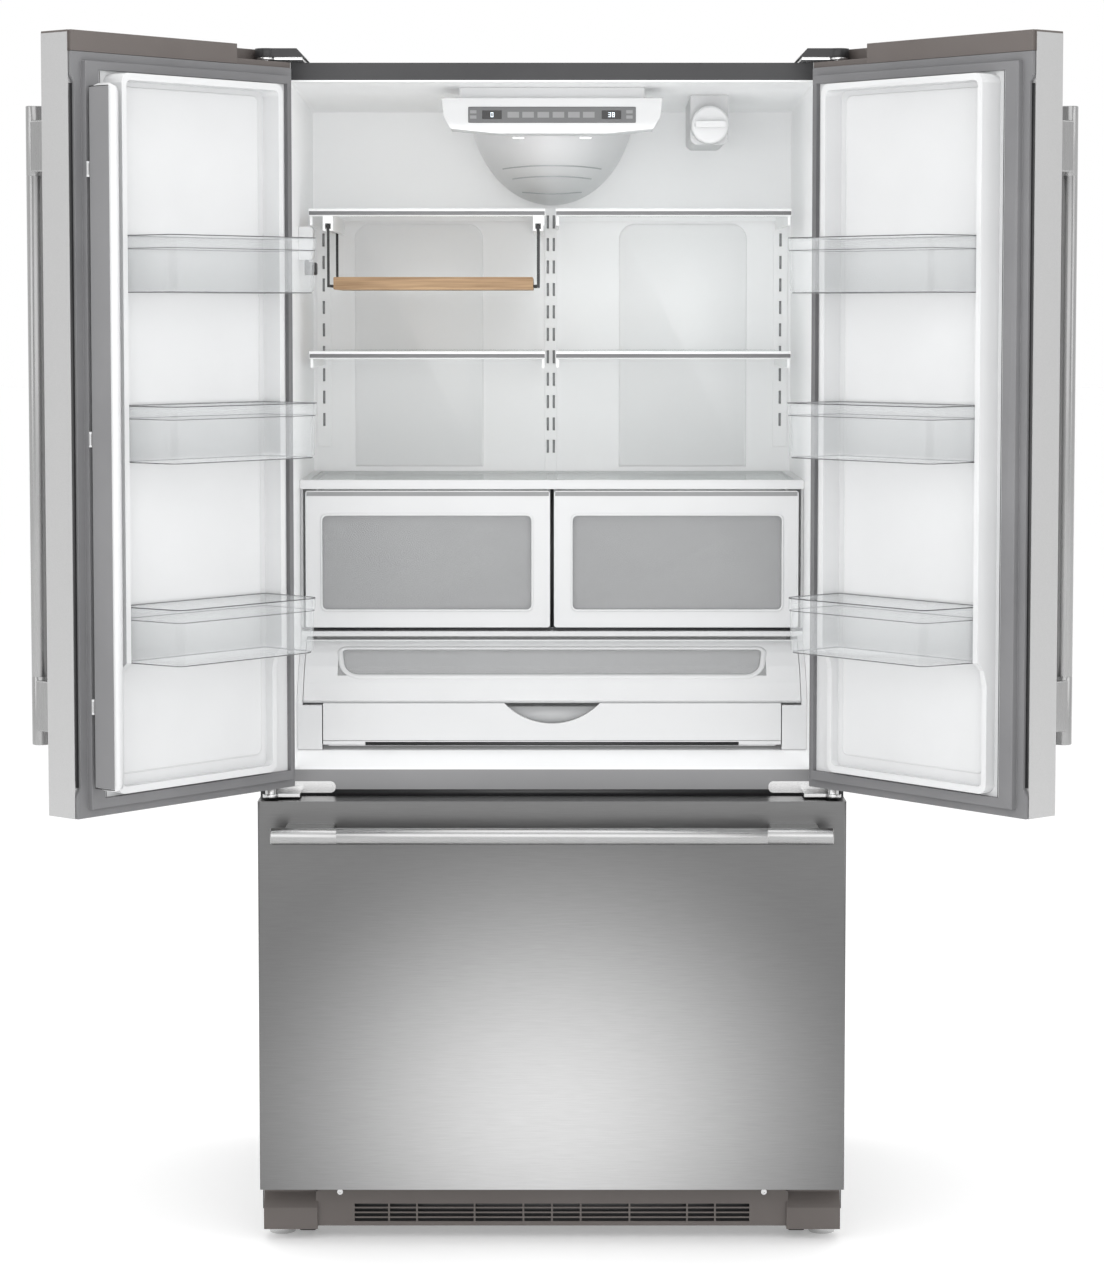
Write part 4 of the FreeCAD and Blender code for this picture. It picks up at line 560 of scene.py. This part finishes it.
BIN_STEPS = ((-BIN_H, 6.0), (-BIN_H + 4, 2.5), (-20.0, 1.5), (-17.0, 0.0), (0.0, 0.0))
for side, sign in SIDES:
    body = side + "_door"
    for level, rim in BIN_RIMS.items():
        name = side + "_bin_" + level
        outer = [bin_ring(level, inset, rim + drop) for drop, inset in BIN_STEPS]
        inner = []
        for ring in outer[::-1][:-1]:
            inner.append([(BIN_CENTRE[0] + (s - BIN_CENTRE[0]) * 0.984,
                           BIN_CENTRE[1] + (n - BIN_CENTRE[1]) * 0.962, z) for s, n, z in ring])
        inner.append([(s, n, rim - BIN_H + 2.6) for s, n, _ in inner[-1]])
        loft(name, outer + inner, CLEAR, body, door_place(sign))
        for tag, z0, z1, grow in (("rim", rim - 1.4, rim + 0.0, 0.0),
                                  ("lip", rim - 19.5, rim - 18.6, -0.8),
                                  ("foot", rim - BIN_H, rim - BIN_H + 1.4, -5.0)):
            loft(name + "_" + tag, bin_line(level, z0, z1, grow), BIN_LINE, body,
                 door_place(sign), False, False)
    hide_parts(side + "_door_bins")

# ---------------------------------------------------------------- folding mullion
mull = door_place(-1)
shell_piece = blocks("mullion_shell",
                     [(*MULLION_S, *MULLION_N, MULLION_Z[0] + 0.2, MULLION_Z[1] - 0.2)], WHITE,
                     "mullion", mull, 1.2)
blocks("mullion_face", [(17.5, 18.1, 19.6, 59.2, 764.0, 1759.0)], MULLION_GREY, "mullion",
       mull, 0.2)
# painted shade: black lines at the ends and the inner edge of the grey face stand for the shadow
# in its joints with the shell
blocks("mullion_joint_shade", [(17.6, 18.1, 19.0, 59.4, 1759.2, 1760.6),
                         (17.6, 18.1, 19.0, 59.4, 762.2, 763.6),
                         (17.7, 18.1, 18.8, 19.5, 763.6, 1759.2)], BLACK, "mullion",
       mull)
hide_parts("mullion_flap")
knuckles = []
for share in MULLION_HINGES:
    middle = MULLION_Z[0] + (MULLION_Z[1] - MULLION_Z[0]) * share
    knuckles.append((17.8, 24.8, 10.1, 17.1, middle - 11.2, middle + 11.2))
blocks("mullion_knuckles", knuckles, GREY, "left_door", mull, 0.5)

# ---------------------------------------------------------------- control panel
blocks("panel_strip", [(-130.0, 130.0, PANEL_Y, PANEL_Y + 2.2, 1735.2, 1759.8)], PANEL, "cabinet",
       None, 0.8)
for name, centre in (("left", -93.0), ("right", 92.0)):
    blocks("display_" + name, [(centre - 15, centre + 15, PANEL_Y - 0.8, PANEL_Y, 1741.0, 1754.0)],
           DISPLAY, "cabinet", None, 0.4)
SEGMENTS = {"0": "abcdef", "3": "abcdg", "8": "abcdefg"}


def digit(x, z, glyph):
    """Boxes of a seven-segment numeral."""
    w, h, t = 4.0, 7.0, 0.8
    bars = {"a": (x, x + w, z + h - t, z + h), "d": (x, x + w, z, z + t),
            "g": (x, x + w, z + h / 2 - t / 2, z + h / 2 + t / 2),
            "b": (x + w - t, x + w, z + h / 2, z + h), "c": (x + w - t, x + w, z, z + h / 2),
            "f": (x, x + t, z + h / 2, z + h), "e": (x, x + t, z, z + h / 2)}
    front = PANEL_Y - 1.0
    return [(bars[k][0], bars[k][1], front, front + 0.3, bars[k][2], bars[k][3])
            for k in SEGMENTS[glyph]]


blocks("digits", digit(-95, 1744, "0") + digit(87, 1744, "3") + digit(93, 1744, "8"), DIGIT,
       "cabinet")
keys = []
for centre in (-60, -37, -13.5, 10, 34, 57):
    keys.append((centre - 9, centre + 9, PANEL_Y - 0.35, PANEL_Y, 1743.0, 1752.0))
for centre in (-122, 120):
    for z in (1741.5, 1749.5):
        keys.append((centre - 5, centre + 5, PANEL_Y - 0.35, PANEL_Y, z, z + 5.0))
blocks("panel_keys", keys, PANEL_LINE, "cabinet", None, 0.3)
blocks("led_spots", [(-62, -44, -178, -160, 1716.0, 1717.5), (44, 62, -178, -160, 1716.0, 1717.5)],
       LED, "cabinet", None, 0.5)

# ---------------------------------------------------------------- back wall and shelves
for name, x0, x1 in (("left", -330.0, -115.0), ("right", 112.0, 326.0)):
    plate("wall_panel_" + name, x0, x1, 1184.0, 1590.0, (2, 2, 26, 26), WALL_FACE - 3.5,
          WALL_FACE, LINER, "cabinet", None, 3.0)
for level, top in SHELF_TOPS.items():
    for name, x0, x1 in (("left", -383.5, -11.5), ("right", 6.5, 377.5)):
        blocks("shelf_band_" + level + "_" + name,
               [(x0, x1, SHELF_FRONT - 1.0, SHELF_FRONT, top - 10.5, top - 4.5)], TRIM_GREY,
               "cabinet", None, 0.3)

# ---------------------------------------------------------------- lamp louvres
def lamp_front(z, x):
    """Y of the bowl's face."""
    up = (LAMP_TOP - z) / LAMP_DROP
    across = x / LAMP_HALF_W
    return LAMP_BACK - LAMP_D * math.sqrt(max(1 - up * up - across * across, 0))


for tag, z, reach in (("upper", 1676.0, 0.80), ("lower", 1660.0, 0.74), ("bottom", 1640.0, 0.78)):
    width = LAMP_HALF_W * math.sqrt(1 - ((LAMP_TOP - z) / LAMP_DROP) ** 2) * reach
    rings = []
    for k in range(LOUVRE_STEPS + 1):
        x = -width + 2 * width * k / LOUVRE_STEPS
        rise = 4.0 * math.sin(math.pi * k / LOUVRE_STEPS) * (-1 if tag == "bottom" else 0.4)
        y = lamp_front(z + rise, x)
        rings.append([(x, y + 0.6, z + rise - 1.6), (x, y - 0.9, z + rise - 1.2),
                      (x, y - 0.9, z + rise + 1.2), (x, y + 0.6, z + rise + 1.6)])
    loft("lamp_louvre_" + tag, rings, LOUVRE, "cabinet")

# ---------------------------------------------------------------- slots of the ladders
slots = []
for centre, top, low, columns in ((-382.0, 1590.0, 1218.0, (0,)), (382.0, 1590.0, 1218.0, (0,)),
                                  (-2.0, 1620.0, 1166.0, (-5, 5))):
    for k in range(int((top - low - LADDER_LEAD) / LADDER_PITCH)):
        z = top - LADDER_LEAD - LADDER_PITCH * k
        for offset in columns:
            x = centre + offset
            slots.append((x - 1.9, x + 1.9, 134.4, 135.6, z - 0.2 - LADDER_SLOT_H, z - 0.2))
blocks("ladder_slots", slots, SLOT_SHADE, "cabinet")

# ---------------------------------------------------------------- beads of the door panels
for side, sign in SIDES:
    outer = rounded_ring(80.0, 366.0, 775.0, 1764.0, (10, 10, 10, 10))
    inner = rounded_ring(81.6, 364.4, 776.6, 1762.4, (9, 9, 9, 9))
    rings = [[(s, 5.6, z) for s, z in outer], [(s, 6.9, z) for s, z in outer],
             [(s, 6.9, z) for s, z in inner], [(s, 5.6, z) for s, z in inner]]
    loft(side + "_panel_bead", rings, BEAD, side + "_door", door_place(sign),
         False, False)

# ---------------------------------------------------------------- crispers and pantry
for side, sign in SIDES:
    low, high = sorted((sign * 32.3, sign * 364.8))
    frame_plate(side + "_crisper_rim", (low - 2.5, high + 2.5, 968.5, 1123.5),
                (low + 0.5, high - 0.5, 971.5, 1120.5), (9, 9, 9, 9), CRISPER_FACE - 1.3,
                CRISPER_FACE, WHITE_SATIN, side + "_crisper")
    plate(side + "_crisper_pane", low, high, 971.0, 1121.0, (7, 7, 7, 7), -184.0, -181.5,
          CRISPER_CLEAR, side + "_crisper")
    blocks(side + "_crisper_top_band",
           [(*sorted((sign * 5, sign * 389)), CRISPER_FACE - 0.6, CRISPER_FACE, 1152, 1158.5)],
           PANEL_LINE, side + "_crisper", None, 0.3)

# painted shade: a black sheet behind the toe grille darkens its slots
blocks("grille_shade_backing", [(-362.0, 362.0, -348.0, -346.5, 24.0, 84.0)], BLACK, "cabinet")
# painted shade: a black strip in the gap under the crispers
blocks("crisper_gap_shade", [(-398.0, 398.0, -179.6, -178.8, 938.0, 941.5)], BLACK, "cabinet")
blocks("pantry_front_seams", [(-359.0, 359.0, PANTRY_FACE - 0.5, PANTRY_FACE, 771.8, 772.6)],
       PANEL_LINE, "pantry")
blocks("pantry_foot_shadow", [(-292.5, 292.5, -266.6, -264.8, 764.6, 770.0)], BLACK, "pantry")
# painted shade: a grey sheet inside the grip recess stands for the shade in it
blocks("pantry_grip_shade", [(-78.0, 78.0, -258.4, -257.0, 796.0, 825.0)], GRIP_SHADE, "pantry")
# painted shade: black strips in the gaps beside the pantry front, between the crispers and under
# the centre rail
blocks("front_gap_shade", [(-PANTRY_GAP[1], -PANTRY_GAP[0], -265.0, -263.0, 766.0, 831.0),
                           (*PANTRY_GAP, -265.0, -263.0, 766.0, 831.0),
                           (-2.6, 2.6, -174.6, -173.6, 942.0, 1162.0),
                           (-404.0, 404.0, -325.3, -325.05, 693.0, 703.5)], BLACK, "cabinet")


def on_lid(u, d, lift):
    """Point on the arched pantry lid: across, down from the hinge line, above the surface."""
    run_y, run_z = LID_RUN
    length = math.hypot(run_y, run_z)
    share = min(max(d / length, 0.0), 1.0)
    k = min(int(share * LID_STEPS), LID_STEPS - 1)
    bows = [LID_BOW * math.sin(math.pi * j / LID_STEPS) for j in range(LID_STEPS + 1)]
    bow = bows[k] + (bows[k + 1] - bows[k]) * (share * LID_STEPS - k) + lift
    return (u, LID_HINGE[0] + run_y * share + run_z / length * bow,
            LID_HINGE[1] + run_z * share - run_y / length * bow)


def window_outline(grow):
    """The pantry window: wide, narrower at its lower edge, with round lower corners."""
    ring = rounded_ring(-WINDOW_HALF_W - grow, WINDOW_HALF_W + grow, WINDOW_RUN[0] - grow,
                        WINDOW_RUN[1] + grow, [8 + grow, 8 + grow, 20 + grow, 20 + grow])
    dense = []
    for k, (u, d) in enumerate(ring):
        dense.append((u, d))
        after = ring[(k + 1) % len(ring)]
        if abs(after[0] - u) < 0.01:
            dense += [(u, d + (after[1] - d) * share) for share in (0.25, 0.5, 0.75)]
    return [(u * (1 - 0.0004 * (d - WINDOW_RUN[0])), d) for u, d in dense]


def lid_frame(name, outer, inner, lift, material):
    """A thin flat frame lying on the lid."""
    rings = []
    for ring, height in ((outer, 0.05), (outer, lift), (inner, lift), (inner, 0.05)):
        rings.append([on_lid(u, d, height) for u, d in ring])
    loft(name, rings, material, "pantry_cover", None, False, False)


lid_frame("pantry_window_rim", window_outline(9.0), window_outline(0.0), 0.35, LID_GREY)
lid_frame("pantry_window_line", window_outline(0.6), window_outline(-0.9), 0.55, SLOT_SHADE)
for side, sign in SIDES:
    place = door_place(sign)
    # painted shade: black strips in the gasket's groove and in the recess beside the steel edge
    blocks(side + "_flange_groove_shade", [(46.6, 47.6, 9.3, 9.7, 746.0, 1784.0)], BLACK,
           side + "_door", place)
    blocks(side + "_edge_recess_shade", [(1.7, 7.0, -4.9, -4.3, 762.0, 1765.0)], BLACK,
           side + "_door", place)
